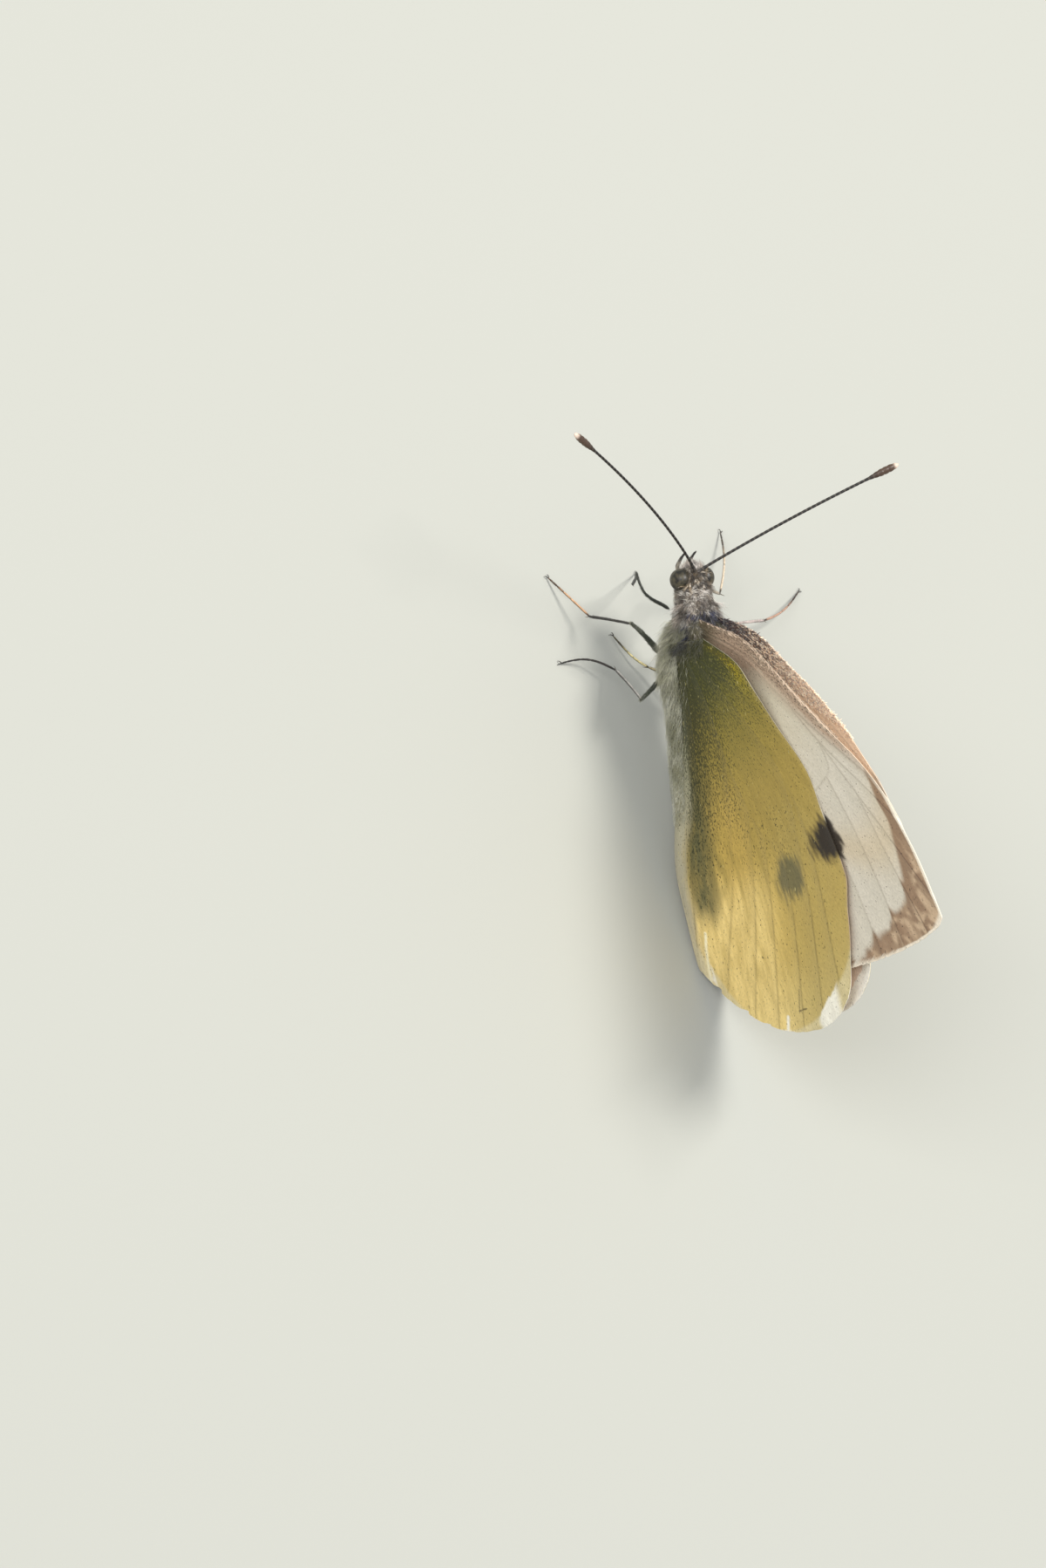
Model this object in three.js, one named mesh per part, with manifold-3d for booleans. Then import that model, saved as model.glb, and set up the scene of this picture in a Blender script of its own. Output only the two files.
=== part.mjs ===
// Large white butterfly (Pieris brassicae) standing at rest, wings closed over its back: a life-size still model.
// Millimetres, +Z up. The head points to -X, the left side to -Y, and the feet stand on z = 0.
import * as THREE from "three";
import Module from "manifold-3d";
import { ParametricGeometry } from "three/addons/geometries/ParametricGeometry.js";
import { mergeVertices } from "three/addons/utils/BufferGeometryUtils.js";

// The body stands head up by PITCH, with the middle of the thorax HEIGHT above the floor.
const PITCH = THREE.MathUtils.degToRad(12);
const HEIGHT = 6.78;
const MIDDLE = new THREE.Vector3(7.26, 1.26, 0); // the middle of the whole, which is set over the origin
const LEAST = 0.5; // thickness of the wings, feelers and feet
const WING_ROUND = 0.1; // how far a wing's root and tip edges bulge
const ROOT = { sink: 0.7, draw: 0.45, reach: 5 }; // how a forewing's root drops and draws in to meet the thorax

// Head, seen from its middle: eyes at the sides, palps and coiled tongue in front and below.
const HEAD = { at: new THREE.Vector3(-4.35, 0, 0.75), long: 1.15, wide: 1.14, high: 1.2 };
const EYE = { radius: 0.73, back: -4.45, out: 0.96, up: 0.85, clear: 0.06 };
const PALP = { out: 0.42, root: [-5.5, -0.4], tip: [-6.3, 0.95], radius: 0.28 };
const TONGUE = { at: new THREE.Vector3(-4.95, 0, -1.38), inner: 0.27, outer: 0.76, turns: 1.1 };

// Feelers: a thin shaft that starts forward and bends outward, then a flattened club.
const FEELER_ROOT = new THREE.Vector3(-5.0, 0.31, 2.0);
const FEELER_LEFT = { forward: 9.25, out: 11.21, up: 5.52, bow: 0.75 };
const FEELER_RIGHT = { forward: 5.25, out: 13.01, up: 4.52, bow: 0.3 };
const CLUB = { share: 0.87, radius: 0.42 };

const THORAX = { front: -3.1, rear: 3.0, wide: 2.25, high: 2.55 };
const COLLAR = { back: -2.15, long: 0.98, radius: 1.38, up: 0.7 };
const ABDOMEN = { front: 3.25, rear: 18.0, radius: 1.52 };

// Wings: where each is hinged, and how far it stands from the middle plane at the hinge and far from it.
const HINGE = { back: -0.5, up: 2.2 };
const FOREWING = {
  root: [-1.3, 2.5], lean: THREE.MathUtils.degToRad(46.8), long: 31.2, arch: 3.1, cut: 29.4, off: 0.3,
};
const HINDWING = { root: -0.4, tip: 25.7, crest: 17.5, rise: 17.3, top: 15.8, middle: 8.5, off: 0.86 };
const SPREAD = { at: 1.5, reach: 8 };
const TROUGH = { radius: 1.97, depth: 4.5, narrow: 0.86 };

// Hips are in the body's own directions (back, left, up); knees, ankles and toes are above the floor (x, left, z).
const LEGS = {
  fore_left: { hip: [-2.6, 0.8, -1.45], knee: [-5.4, 2.55, 6.2], ankle: [-5.7, 0.7, 2.7], toe: [-7.0, -1.4] },
  fore_right: { hip: [-2.6, -0.8, -1.45], knee: [-5.2, -2.5, 4.0], ankle: [-4.5, -5.9, 2.5], toe: [-9.2, -8.7] },
  mid_left: { hip: [-0.2, 0.8, -3.05], knee: [-2.3, 3.5, 5.7], ankle: [-4.1, 3.9, 1.7], toe: [-7.36, 5.3] },
  mid_right: { hip: [-0.2, -0.8, -3.05], knee: [-1.7, -4.5, 5.3], ankle: [-2.55, -9.15, 1.9], toe: [-4.7, -13.6] },
  hind_left: { hip: [1.6, 0.8, -2.95], knee: [2.6, 3.7, 4.95], ankle: [-0.37, 2.85, 1.6], toe: [-1.57, 5.9] },
  hind_right: { hip: [1.6, -0.8, -2.95], knee: [2.7, -3.4, 3.7], ankle: [-0.5, -0.2, 0.85], toe: [-3.04, 1.45] },
};
const FEMUR = 0.28;
const TIBIA = 0.25;
const JOINT_GAP = 0.2;
const FOOT = { long: 0.42, wide: 0.3, high: 0.3 };

const wasm = await Module();
wasm.setup();

// Welds a surface's seams and poles, and drops the triangles they leave with no area.
function sealed(geometry) {
  geometry.deleteAttribute("normal");
  geometry.deleteAttribute("uv");
  const welded = mergeVertices(geometry, 1e-4);
  const corner = welded.index.array;
  const kept = [];
  for (let i = 0; i < corner.length; i += 3) {
    const [a, b, c] = corner.slice(i, i + 3);
    if (a !== b && b !== c && c !== a) kept.push(a, b, c);
  }
  welded.setIndex(kept);
  welded.computeVertexNormals();
  return welded;
}

function toSolid(geometry) {
  const mesh = new wasm.Mesh({
    numProp: 3,
    vertProperties: new Float32Array(geometry.attributes.position.array),
    triVerts: new Uint32Array(geometry.index.array),
  });
  return new wasm.Manifold(mesh);
}

function fromSolid(solid) {
  const mesh = solid.getMesh();
  const geometry = new THREE.BufferGeometry();
  geometry.setAttribute("position", new THREE.BufferAttribute(mesh.vertProperties, mesh.numProp));
  geometry.setIndex(new THREE.BufferAttribute(mesh.triVerts, 1));
  geometry.computeVertexNormals();
  return geometry;
}

function smooth(from, to, x) {
  return THREE.MathUtils.smoothstep(x, from, to);
}

// A body of rounded sections: at(t) gives a section's middle, half width and half height, t running from head to tail.
function rounded(at, steps, sides) {
  return sealed(
    new ParametricGeometry(
      (around, along, point) => {
        const t = (1 - Math.cos(Math.PI * along)) / 2;
        const section = at(t);
        const angle = -2 * Math.PI * around;
        const fall = along === 0 || along === 1 ? 0 : 1;
        point.copy(section.middle);
        point.y += fall * section.wide * Math.sin(angle);
        point.z += fall * section.high * Math.cos(angle);
      },
      sides,
      steps,
    ),
  );
}

// A tube along a curve with flat ends; its half thickness is radius(t), the same both ways.
function tube(curve, radius, steps, sides) {
  const frames = curve.computeFrenetFrames(steps, false);
  return sealed(
    new ParametricGeometry(
      (around, along, point) => {
        const row = Math.round(along * (steps + 2));
        const station = THREE.MathUtils.clamp(row - 1, 0, steps);
        const size = row === 0 || row === steps + 2 ? 0 : radius(station / steps);
        const angle = 2 * Math.PI * around;
        point.copy(curve.getPointAt(station / steps));
        point.addScaledVector(frames.normals[station], size * Math.cos(angle));
        point.addScaledVector(frames.binormals[station], size * Math.sin(angle));
      },
      sides,
      steps + 2,
    ),
  );
}

// A limb of the leg or palp: turned about the line from one joint to the next, swelling by its profile.
function limb(from, to, thick, profile) {
  const line = new THREE.Vector3().subVectors(to, from);
  const long = line.length() - 2 * JOINT_GAP;
  const outline = profile.map(([share, size]) => new THREE.Vector2(thick * size, long * share));
  const geometry = new THREE.LatheGeometry(outline, 8);
  geometry.applyQuaternion(new THREE.Quaternion().setFromUnitVectors(new THREE.Vector3(0, 1, 0), line.normalize()));
  geometry.translate(...from.clone().addScaledVector(line, JOINT_GAP).toArray());
  return sealed(geometry);
}

// A wing: middle(along, across) is its middle surface, and each face stands half the thickness off it.
function blade(middle, alongSteps, acrossSteps) {
  const step = 1e-4;
  const loop = 2 * acrossSteps + 2;
  return sealed(
    new ParametricGeometry(
      (around, length, point) => {
        const turn = Math.round(around * loop) % loop;
        const face = turn <= acrossSteps ? -1 : 1;
        const across = (face < 0 ? turn : loop - 1 - turn) / acrossSteps;
        const row = Math.round(length * (alongSteps + 2));
        const along = THREE.MathUtils.clamp(row - 1, 0, alongSteps) / alongSteps;
        const end = row === 0 ? -1 : row === alongSteps + 2 ? 1 : 0;
        const half = end === 0 ? LEAST / 2 : 0;
        const ahead = Math.min(along, 1 - step);
        const beside = Math.min(across, 1 - step);
        const here = middle(ahead, beside);
        const lengthways = middle(ahead + step, beside).sub(here);
        const sideways = middle(ahead, beside + step).sub(here);
        point.copy(middle(along, across));
        point.addScaledVector(lengthways.clone().normalize(), end * WING_ROUND);
        point.addScaledVector(lengthways.cross(sideways).normalize(), face * half);
      },
      loop,
      alongSteps + 2,
    ),
  );
}

// How far a wing surface stands off the middle plane near its hinge.
function spread(back, up) {
  const far = Math.hypot(back - HINGE.back, up - HINGE.up);
  return SPREAD.at * Math.exp(-((far / SPREAD.reach) ** 1.3));
}

// The abdomen's middle line sinks from the thorax to its tip, lying in the trough of the hindwings.
function abdomenLine(back) {
  const run = back - 3;
  return -0.5 - 0.12 * run + 0.0022 * run * run;
}

function forewing(along, across) {
  const u = FOREWING.long * 0.995 * (1 - (1 - along) ** 1.6);
  const share = u / FOREWING.long;
  const front = 0.6 * (1 - share) + FOREWING.arch * Math.sin(Math.PI * share ** 1.15) ** 0.75;
  const inner = 0.9 + 0.74 * u;
  const outer = FOREWING.cut * (1 - share) ** 0.75;
  const rear = -((inner ** -8 + outer ** -8) ** (-1 / 8));
  const v = rear + (front - rear) * across;
  const back = FOREWING.root[0] + u * Math.cos(FOREWING.lean) - v * Math.sin(FOREWING.lean);
  const up = FOREWING.root[1] + u * Math.sin(FOREWING.lean) + v * Math.cos(FOREWING.lean);
  const near = 1 - smooth(0, ROOT.reach, u);
  return new THREE.Vector3(back, FOREWING.off + spread(back, up) - ROOT.draw * near, up - ROOT.sink * near);
}

// Below the abdomen's line the hindwing rolls in under the abdomen; above it, it draws in to lie on the forewing.
function hindwing(along, across) {
  const { root, tip, crest, rise, top, middle } = HINDWING;
  const back = root + (tip - 0.06 - root) * (1 - Math.cos(Math.PI * along)) * 0.5;
  const past = Math.max(0, (back - crest) / (tip - crest));
  const before = Math.max(0, (crest - back) / rise);
  const shoulder = 0.8 * Math.exp(-(((back - 1.3) / 1.4) ** 2));
  const climb = top - 11.2 * before ** 2 + shoulder;
  const front = back > crest ? middle + (top - middle) * Math.sqrt(1 - past * past) : climb;
  const line = abdomenLine(back);
  const outer = middle - line - 11.3 * (1 - Math.max(0, (back - 19) / (tip - 19)) ** 1.7) ** (1 / 1.7);
  const inner = 1.5 - 3.8 * smooth(0.2, 6.7, back) + 1.45 * smooth(13.5, 19, back);
  const rear = back > 19 ? outer : inner;
  const w = rear + (front - line - rear) * across ** 1.35;
  const wide = TROUGH.radius + 0.35 * (1 - smooth(0, 5, back));
  const round = TROUGH.narrow + (wide - TROUGH.narrow) * (1 - smooth(12, 22, back));
  if (w < 0) {
    const roll = -w / round;
    return new THREE.Vector3(back, round * Math.cos(roll), line - round * Math.sin(roll));
  }
  const flat = HINDWING.off + spread(back, line + w);
  const draw = 1 - smooth(0, TROUGH.depth, w);
  return new THREE.Vector3(back, flat + (round - flat) * draw, line + w);
}

const butterfly = new THREE.Group();
const body = new THREE.Group();
body.rotation.y = PITCH;
body.position.z = HEIGHT;
butterfly.add(body);
butterfly.updateMatrixWorld(true);

function addTo(group, name, geometry, color, roughness = 0.8) {
  const mesh = new THREE.Mesh(geometry, new THREE.MeshStandardMaterial({ color, roughness }));
  mesh.name = name;
  group.add(mesh);
  return mesh;
}

// Both sides are drawn for the left, whose side is -Y, so the left copy is turned over.
function addPair(name, geometry, color, roughness) {
  addTo(body, name + "_right", geometry, color, roughness);
  addTo(body, name + "_left", geometry.clone(), color, roughness).scale.y = -1;
}

// Eyes and the head, which has a socket for each eye.
const eye = new THREE.SphereGeometry(EYE.radius, 12, 8).translate(EYE.back, EYE.out, EYE.up);
addPair("eye", eye, 0x45423a, 0.35);
const skull = rounded(
  (t) => {
    const q = 2 * t - 1;
    const size = Math.sqrt(Math.max(0, 1 - q * q));
    return {
      middle: new THREE.Vector3(HEAD.at.x + q * HEAD.long, 0, HEAD.at.z),
      wide: HEAD.wide * size,
      high: HEAD.high * size,
    };
  },
  10,
  18,
);
const socket = new THREE.SphereGeometry(EYE.radius + EYE.clear, 12, 8).translate(EYE.back, EYE.out, EYE.up);
const otherSocket = new THREE.SphereGeometry(EYE.radius + EYE.clear, 12, 8).translate(EYE.back, -EYE.out, EYE.up);
const head = toSolid(skull).subtract(toSolid(sealed(socket))).subtract(toSolid(sealed(otherSocket)));
addTo(body, "head", fromSolid(head), 0xb5ab9c);

// Palps, held up in front of the face.
const spindle = [[0, 0], [0.04, 0.6], [0.3, 1], [0.7, 0.95], [0.95, 0.55], [1, 0]];
const palp = limb(
  new THREE.Vector3(PALP.root[0], PALP.out, PALP.root[1]),
  new THREE.Vector3(PALP.tip[0], PALP.out, PALP.tip[1]),
  PALP.radius,
  spindle,
);
addPair("palp", palp, 0xc9c0b0);

// The tongue, coiled flat between and under the palps.
class Coil extends THREE.Curve {
  getPoint(t, target = new THREE.Vector3()) {
    const radius = TONGUE.outer + (TONGUE.inner - TONGUE.outer) * t;
    const angle = Math.PI * (0.55 + 2 * TONGUE.turns * t);
    return target.set(TONGUE.at.x + radius * Math.cos(angle), 0, TONGUE.at.z + radius * Math.sin(angle));
  }
}
addTo(body, "proboscis", tube(new Coil(), () => LEAST / 2, 20, 8), 0x6b5238, 0.6);

// Feelers.
function feeler(side, pose, sign) {
  const root = new THREE.Vector3(FEELER_ROOT.x, sign * FEELER_ROOT.y, FEELER_ROOT.z);
  const tip = new THREE.Vector3(root.x - pose.forward, sign * pose.out + root.y, root.z + pose.up);
  const bend = new THREE.Vector3().lerpVectors(root, tip, 0.45);
  bend.x -= pose.bow;
  bend.y -= sign * pose.bow;
  const whole = new THREE.QuadraticBezierCurve3(root, bend, tip);
  const joint = whole.getPoint(CLUB.share);
  const joined = new THREE.QuadraticBezierCurve3(root, new THREE.Vector3().lerpVectors(root, bend, CLUB.share), joint);
  addTo(body, "antenna_shaft_" + side, tube(joined, () => LEAST / 2, 12, 8), 0x55504c);
  const club = [[0, 0], [0.03, 0.6], [0.35, 0.8], [0.75, 1], [0.93, 0.75], [1, 0]];
  addTo(body, "antenna_club_" + side, limb(joint, tip, CLUB.radius, club), 0x8a6f58);
}
feeler("left", FEELER_LEFT, -1);
feeler("right", FEELER_RIGHT, 1);

// Thorax: a ruff of hair round the neck, then a deep chest, fullest behind the wing hinges.
const thorax = rounded(
  (t) => {
    const back = THORAX.front + (THORAX.rear - THORAX.front) * t;
    const chest = 1.855 * t ** 0.75 * (1 - t) ** 0.29;
    const ruff = COLLAR.radius * Math.sqrt(Math.max(0, 1 - ((back - COLLAR.back) / COLLAR.long) ** 2));
    const wide = THORAX.wide * chest;
    const high = THORAX.high * chest * (1.12 - 0.24 * t);
    const up = (wide ** 6 * (0.15 - 0.45 * t) + ruff ** 6 * COLLAR.up) / (wide ** 6 + ruff ** 6 + 1e-9);
    return {
      middle: new THREE.Vector3(back, 0, up),
      wide: (wide ** 6 + ruff ** 6) ** (1 / 6),
      high: (high ** 6 + ruff ** 6) ** (1 / 6),
    };
  },
  14,
  20,
);
addTo(body, "thorax", thorax, 0x9a968c);

// Abdomen: a long spindle, blunt behind.
const abdomen = rounded(
  (t) => {
    const back = ABDOMEN.front + (ABDOMEN.rear - ABDOMEN.front) * t;
    const size = ABDOMEN.radius * (1 - (1 - t) ** 6) ** 0.5 * (1 - t ** 2.6) ** 0.62 * (0.82 + 0.18 * smooth(0, 0.4, t));
    return { middle: new THREE.Vector3(back, 0, abdomenLine(back)), wide: size * 0.97, high: size };
  },
  20,
  16,
);
addTo(body, "abdomen", abdomen, 0xa8a48c);

// Wings. Their roots are cut to sit on the thorax, and the hindwings' rear corners are trimmed flat where they rest
// on the floor.
const floor = toSolid(sealed(new THREE.BoxGeometry(120, 120, 10).translate(0, 0, -5)));
const chest = toSolid(thorax).scale([1.004, 1.004, 1.004]);
addPair("forewing", fromSolid(toSolid(blade(forewing, 20, 10)).subtract(chest)), 0xd8cfb8, 0.7);
const hind = fromSolid(toSolid(blade(hindwing, 24, 12)).subtract(chest)).applyMatrix4(body.matrixWorld);
const rested = fromSolid(toSolid(hind).subtract(floor));
addTo(butterfly, "hindwing_right", rested, 0xb9a56c, 0.75);
addTo(butterfly, "hindwing_left", rested.clone(), 0xb9a56c, 0.75).scale.y = -1;

// Legs. Each foot ends in a small pad, trimmed flat where it stands.
const shaft = [[0, 0], [0.03, 0.62], [0.3, 1], [0.7, 0.9], [0.97, 0.5], [1, 0]];
const shin = [[0, 0], [0.03, 0.55], [0.25, 0.85], [0.85, 1], [0.97, 0.8], [1, 0]];
const toes = [[0, 0], [0.02, 1], [0.5, 0.95], [0.97, 0.9], [1, 0]];
for (const [name, { hip, knee, ankle, toe }] of Object.entries(LEGS)) {
  const [pair, side] = name.split("_");
  const root = new THREE.Vector3(hip[0], -hip[1], hip[2]).applyMatrix4(body.matrixWorld);
  const bend = new THREE.Vector3(knee[0], -knee[1], knee[2]);
  const heel = new THREE.Vector3(ankle[0], -ankle[1], ankle[2]);
  const end = new THREE.Vector3(toe[0], -toe[1], FOOT.high * 0.75);
  addTo(butterfly, pair + "_femur_" + side, limb(root, bend, FEMUR, shaft), 0x8d9078);
  addTo(butterfly, pair + "_tibia_" + side, limb(bend, heel, TIBIA, shin), 0x8a8578);
  const pad = new THREE.SphereGeometry(1, 8, 6).scale(FOOT.long, FOOT.wide, FOOT.high);
  pad.rotateZ(Math.atan2(end.y - heel.y, end.x - heel.x)).translate(...end.toArray());
  const foot = toSolid(limb(heel, end, LEAST / 2, toes)).add(toSolid(sealed(pad))).subtract(floor);
  addTo(butterfly, pair + "_tarsus_" + side, fromSolid(foot), 0xa08c66);
}

butterfly.position.copy(MIDDLE).negate();
export default butterfly;
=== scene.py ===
"""Large white butterfly, life size, standing with its wings closed: a still model dressed over the CAD frame."""

import bpy
import numpy as np
from mathutils import Matrix, Vector


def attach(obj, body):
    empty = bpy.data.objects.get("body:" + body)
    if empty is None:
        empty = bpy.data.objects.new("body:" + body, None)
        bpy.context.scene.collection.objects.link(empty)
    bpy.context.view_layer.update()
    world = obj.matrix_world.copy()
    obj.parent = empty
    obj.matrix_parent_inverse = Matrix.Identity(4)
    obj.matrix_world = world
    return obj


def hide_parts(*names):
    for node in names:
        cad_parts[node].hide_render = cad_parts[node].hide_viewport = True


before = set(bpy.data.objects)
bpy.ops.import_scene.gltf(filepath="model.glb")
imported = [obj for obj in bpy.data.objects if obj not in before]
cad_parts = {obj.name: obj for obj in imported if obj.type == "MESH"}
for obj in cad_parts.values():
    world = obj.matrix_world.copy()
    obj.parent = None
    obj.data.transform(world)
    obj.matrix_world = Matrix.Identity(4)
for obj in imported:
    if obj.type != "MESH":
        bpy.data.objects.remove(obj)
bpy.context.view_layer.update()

# --- Body skin -------------------------------------------------------------------------------------------------------
# Head, thorax and abdomen under one unbroken skin, a horny shell powdered with scales. It is a tube of changing oval
# section along the back, and lies inside the solids by the depth of the coat.
PITCH = np.radians(12.0)
HEIGHT = 6.78
MIDDLE_X, MIDDLE_Y = 7.26, 1.26
SKIN_FRONT, SKIN_REAR = -5.42, 17.85
COAT_DEPTH, SKIN_SHADE, SKIN_ROWS, SKIN_COLS = 0.22, 0.45, 210, 72


def stand(back, left, up):
    """Metres in the part's frame of a point given in millimetres along the body's back, left and up: the body is
    tipped head up about the thorax, lifted to its height and moved so that the whole is centred on the origin."""
    x = back * np.cos(PITCH) + up * np.sin(PITCH) - MIDDLE_X
    z = up * np.cos(PITCH) - back * np.sin(PITCH) + HEIGHT
    return np.stack([x, -left - MIDDLE_Y + 0.0 * x, z], -1) * 0.001


def stood(points):
    """The same for points whose last axis holds back, left and up."""
    return stand(points[..., 0], points[..., 1], points[..., 2])


def ease(low, high, x):
    """Smooth step: 0 below low, 1 above high, and 3q^2 - 2q^3 between, where q is the share of the way."""
    q = np.clip((x - low) / (high - low), 0.0, 1.0)
    return q * q * (3.0 - 2.0 * q)


def bell(x, middle, reach):
    """A bell round the middle: exp(-((x - middle) / reach)^2)."""
    return np.exp(-(((x - middle) / reach) ** 2))


def tone(red, green, blue):
    """A named colour on the 0 to 255 screen scale as linear light: ((c + 0.055) / 1.055)^2.4."""
    c = np.array([red, green, blue]) / 255.0
    return np.where(c > 0.04045, ((c + 0.055) / 1.055) ** 2.4, c / 12.92)


def mixed(low, high, share):
    """The colour a share of the way from one to the other; each may be one colour or one for each vertex."""
    share = np.asarray(share)[..., None]
    return low * (1 - share) + high * share


def layered(colour, *layers):
    """The colour under layers, each a named colour and the share by which it covers what lies under it."""
    for shade, share in layers:
        colour = mixed(colour, tone(*shade), share)
    return colour


def abdomen_line(back):
    """Height of the abdomen's middle line: it sinks by 0.12 mm for each mm back, a little less towards the tip."""
    run = back - 3.0
    return -0.5 - 0.12 * run + 0.0022 * run**2


def body_section(back):
    """Half width, half height and middle height of the skin. Head, neck, ruff, chest, waist and abdomen are ovals
    whose sizes blend by the sixth root of the sum of their sixth powers, each middle weighing by its size. The chest
    swells as 1.855 t^0.75 (1 - t)^0.29, fullest behind the wing hinges."""
    head = np.sqrt(np.clip(1 - ((back + 4.35) / 1.07) ** 2, 0, 1))
    ruff = np.sqrt(np.clip(1 - ((back + 2.15) / 0.98) ** 2, 0, 1))
    t = np.clip((back + 3.1) / 6.1, 0, 1)
    chest = 1.855 * t**0.75 * (1 - t) ** 0.29
    q = np.clip((back - 2.6) / 15.3, 0, 1)
    tail = np.sqrt(1 - (1 - q) ** 6) * (1 - q**2.6) ** 0.62 * (0.82 + 0.18 * ease(0, 0.4, q))
    ring = 1 - 0.028 * (0.5 + 0.5 * np.cos(2 * np.pi * (back - 4.2) / 1.72)) ** 6 * ease(3.6, 4.6, back)
    neck = ease(-4.6, -3.8, back) * (1 - ease(-2.6, -1.4, back))
    waist = ease(0.8, 2.2, back) * (1 - ease(3.2, 4.6, back))
    parts = [
        (head * 0.92, head * 0.98, 0.75 + 0 * back),
        (ruff * 1.16, ruff * 1.16, 0.78 + 0 * back),
        (chest * (2.25 - COAT_DEPTH), chest * (2.856 - 0.61 * t - COAT_DEPTH), 0.15 - 0.45 * t),
        (tail * 1.3 * ring, tail * 1.32 * ring, abdomen_line(back)),
        (neck * 1.0, neck * 1.02, 0.72 + 0 * back),
        (waist * 1.05, waist * 1.2, -0.35 + 0 * back),
    ]
    weight = sum(w**6 for w, _, _ in parts) + 1e-12
    wide = weight ** (1 / 6.0)
    high = sum(h**6 for _, h, _ in parts) ** (1 / 6.0)
    return wide, high, sum(w**6 * z for w, _, z in parts) / weight


def body_point(back, turn):
    """A place on the skin: back along the body and turned round its section, 0 on top and a quarter to the left."""
    wide, high, middle = body_section(back)
    return np.stack([back + 0 * turn, wide * np.sin(turn), middle + high * np.cos(turn)], -1)


def body_tone(back, turn, rng):
    """The coat's colour: head and collar grey brown, back of the thorax slate blue, sides grey green with black painted
    as shade in the crease before the hindwings, where the hair is partly dark too, belly cream; rng scatters dark and
    white flecks."""
    side = np.abs(np.arctan2(np.sin(turn), np.cos(turn)))
    fleck = rng.random(np.shape(back))
    top = (1 - ease(0.6, 1.0, side)) * ease(-2.2, -1.75, back) * (1 - ease(4.0, 7.0, back))
    # seam: black painted as the shade in the crease before each hindwing, where the hair is partly dark too.
    seam = bell(back + 2.1 - 2 * side, 0, 0.24) * ease(0.7, 0.82, side) * (1 - ease(0.98, 1.1, side))
    colour = layered(
        mixed(tone(148, 147, 122), tone(206, 200, 176), ease(1.5, 2.7, side)),
        ((40, 43, 70), top * np.where(fleck < 0.85, 0.95, 0.3)),
        ((26, 25, 22), 0.9 * seam),
        ((92, 88, 76), 0.85 * (1 - ease(0.5, 1.3, side)) * ease(4.0, 7.0, back)),
        ((212, 204, 170), ease(0.7, 1.6, side) * ease(3.5, 6.0, back)),
    )
    head = mixed(tone(116, 104, 86), tone(142, 131, 117), ease(-4.3, -3.6, back))
    front = 1 - ease(-2.25, -1.85, back + 0.15 * np.sin(5 * side))
    dark = (fleck > 0.74) & (fleck < 0.93) & (side < 2.0)
    return layered(
        mixed(colour, layered(head, ((214, 206, 190), ease(1.6, 2.3, side))), front),
        ((72, 64, 58), 0.85 * dark * np.maximum(front, 0.35)),
        ((226, 220, 210), 0.85 * (fleck >= 0.93) * np.maximum(front, 0.3)),
    )


def round_grid(points):
    """Quads and end fans of a grid that closes on itself in its second direction and is a single point at each end:
    the first and last rows are taken as poles."""
    rows, cols = points.shape[:2]
    inner = points[1:-1].reshape(-1, 3)
    ids = np.arange((rows - 2) * cols).reshape(rows - 2, cols)
    after = np.roll(ids, -1, axis=1)
    quads = np.stack([ids[:-1], ids[1:], after[1:], after[:-1]], -1).reshape(-1, 4)
    first, last = len(inner), len(inner) + 1
    fans = np.concatenate(
        [
            np.stack([np.full(cols, first), ids[0], after[0]], -1),
            np.stack([ids[-1], np.full(cols, last), after[-1]], -1),
        ]
    )
    return np.vstack([inner, points[0].mean(0), points[-1].mean(0)]), quads, fans


def vertex_colours(grid):
    """Colours in the order of round_grid's points: the inner rows, then the two poles."""
    return np.vstack([grid[1:-1].reshape(-1, 3), grid[0, :1], grid[-1, :1]])


def to_piece(name, points, quads, tris=None, sharp=None):
    """A mesh object of these points and faces, turned so that its faces look outwards (its volume is positive)."""
    tris = np.zeros((0, 3), int) if tris is None else tris
    quads = np.zeros((0, 4), int) if quads is None else quads
    every = np.concatenate([tris, quads[:, :3], quads[:, [0, 2, 3]]])
    corner = points[every] - points.mean(0)
    if np.einsum("ij,ij->i", np.cross(corner[:, 0], corner[:, 1]), corner[:, 2]).sum() < 0:
        quads, tris = quads[:, ::-1], tris[:, ::-1]
    mesh = bpy.data.meshes.new(name)
    mesh.from_pydata(points.tolist(), [], quads.tolist() + tris.tolist())
    mesh.polygons.foreach_set("use_smooth", np.ones(len(mesh.polygons), bool))
    if sharp:
        mesh.set_sharp_from_angle(angle=np.radians(sharp))
    piece = bpy.data.objects.new(name, mesh)
    bpy.context.scene.collection.objects.link(piece)
    return piece


def paint(piece, name, values):
    """Stores one colour or one number for each vertex under a name that the material reads."""
    if values.ndim == 2:
        layer = piece.data.color_attributes.new(name, "FLOAT_COLOR", "POINT")
        layer.data.foreach_set("color", np.c_[values, np.ones(len(values))].ravel())
    else:
        layer = piece.data.attributes.new(name, "FLOAT", "POINT")
        layer.data.foreach_set("value", values.astype(np.float32))


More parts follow.
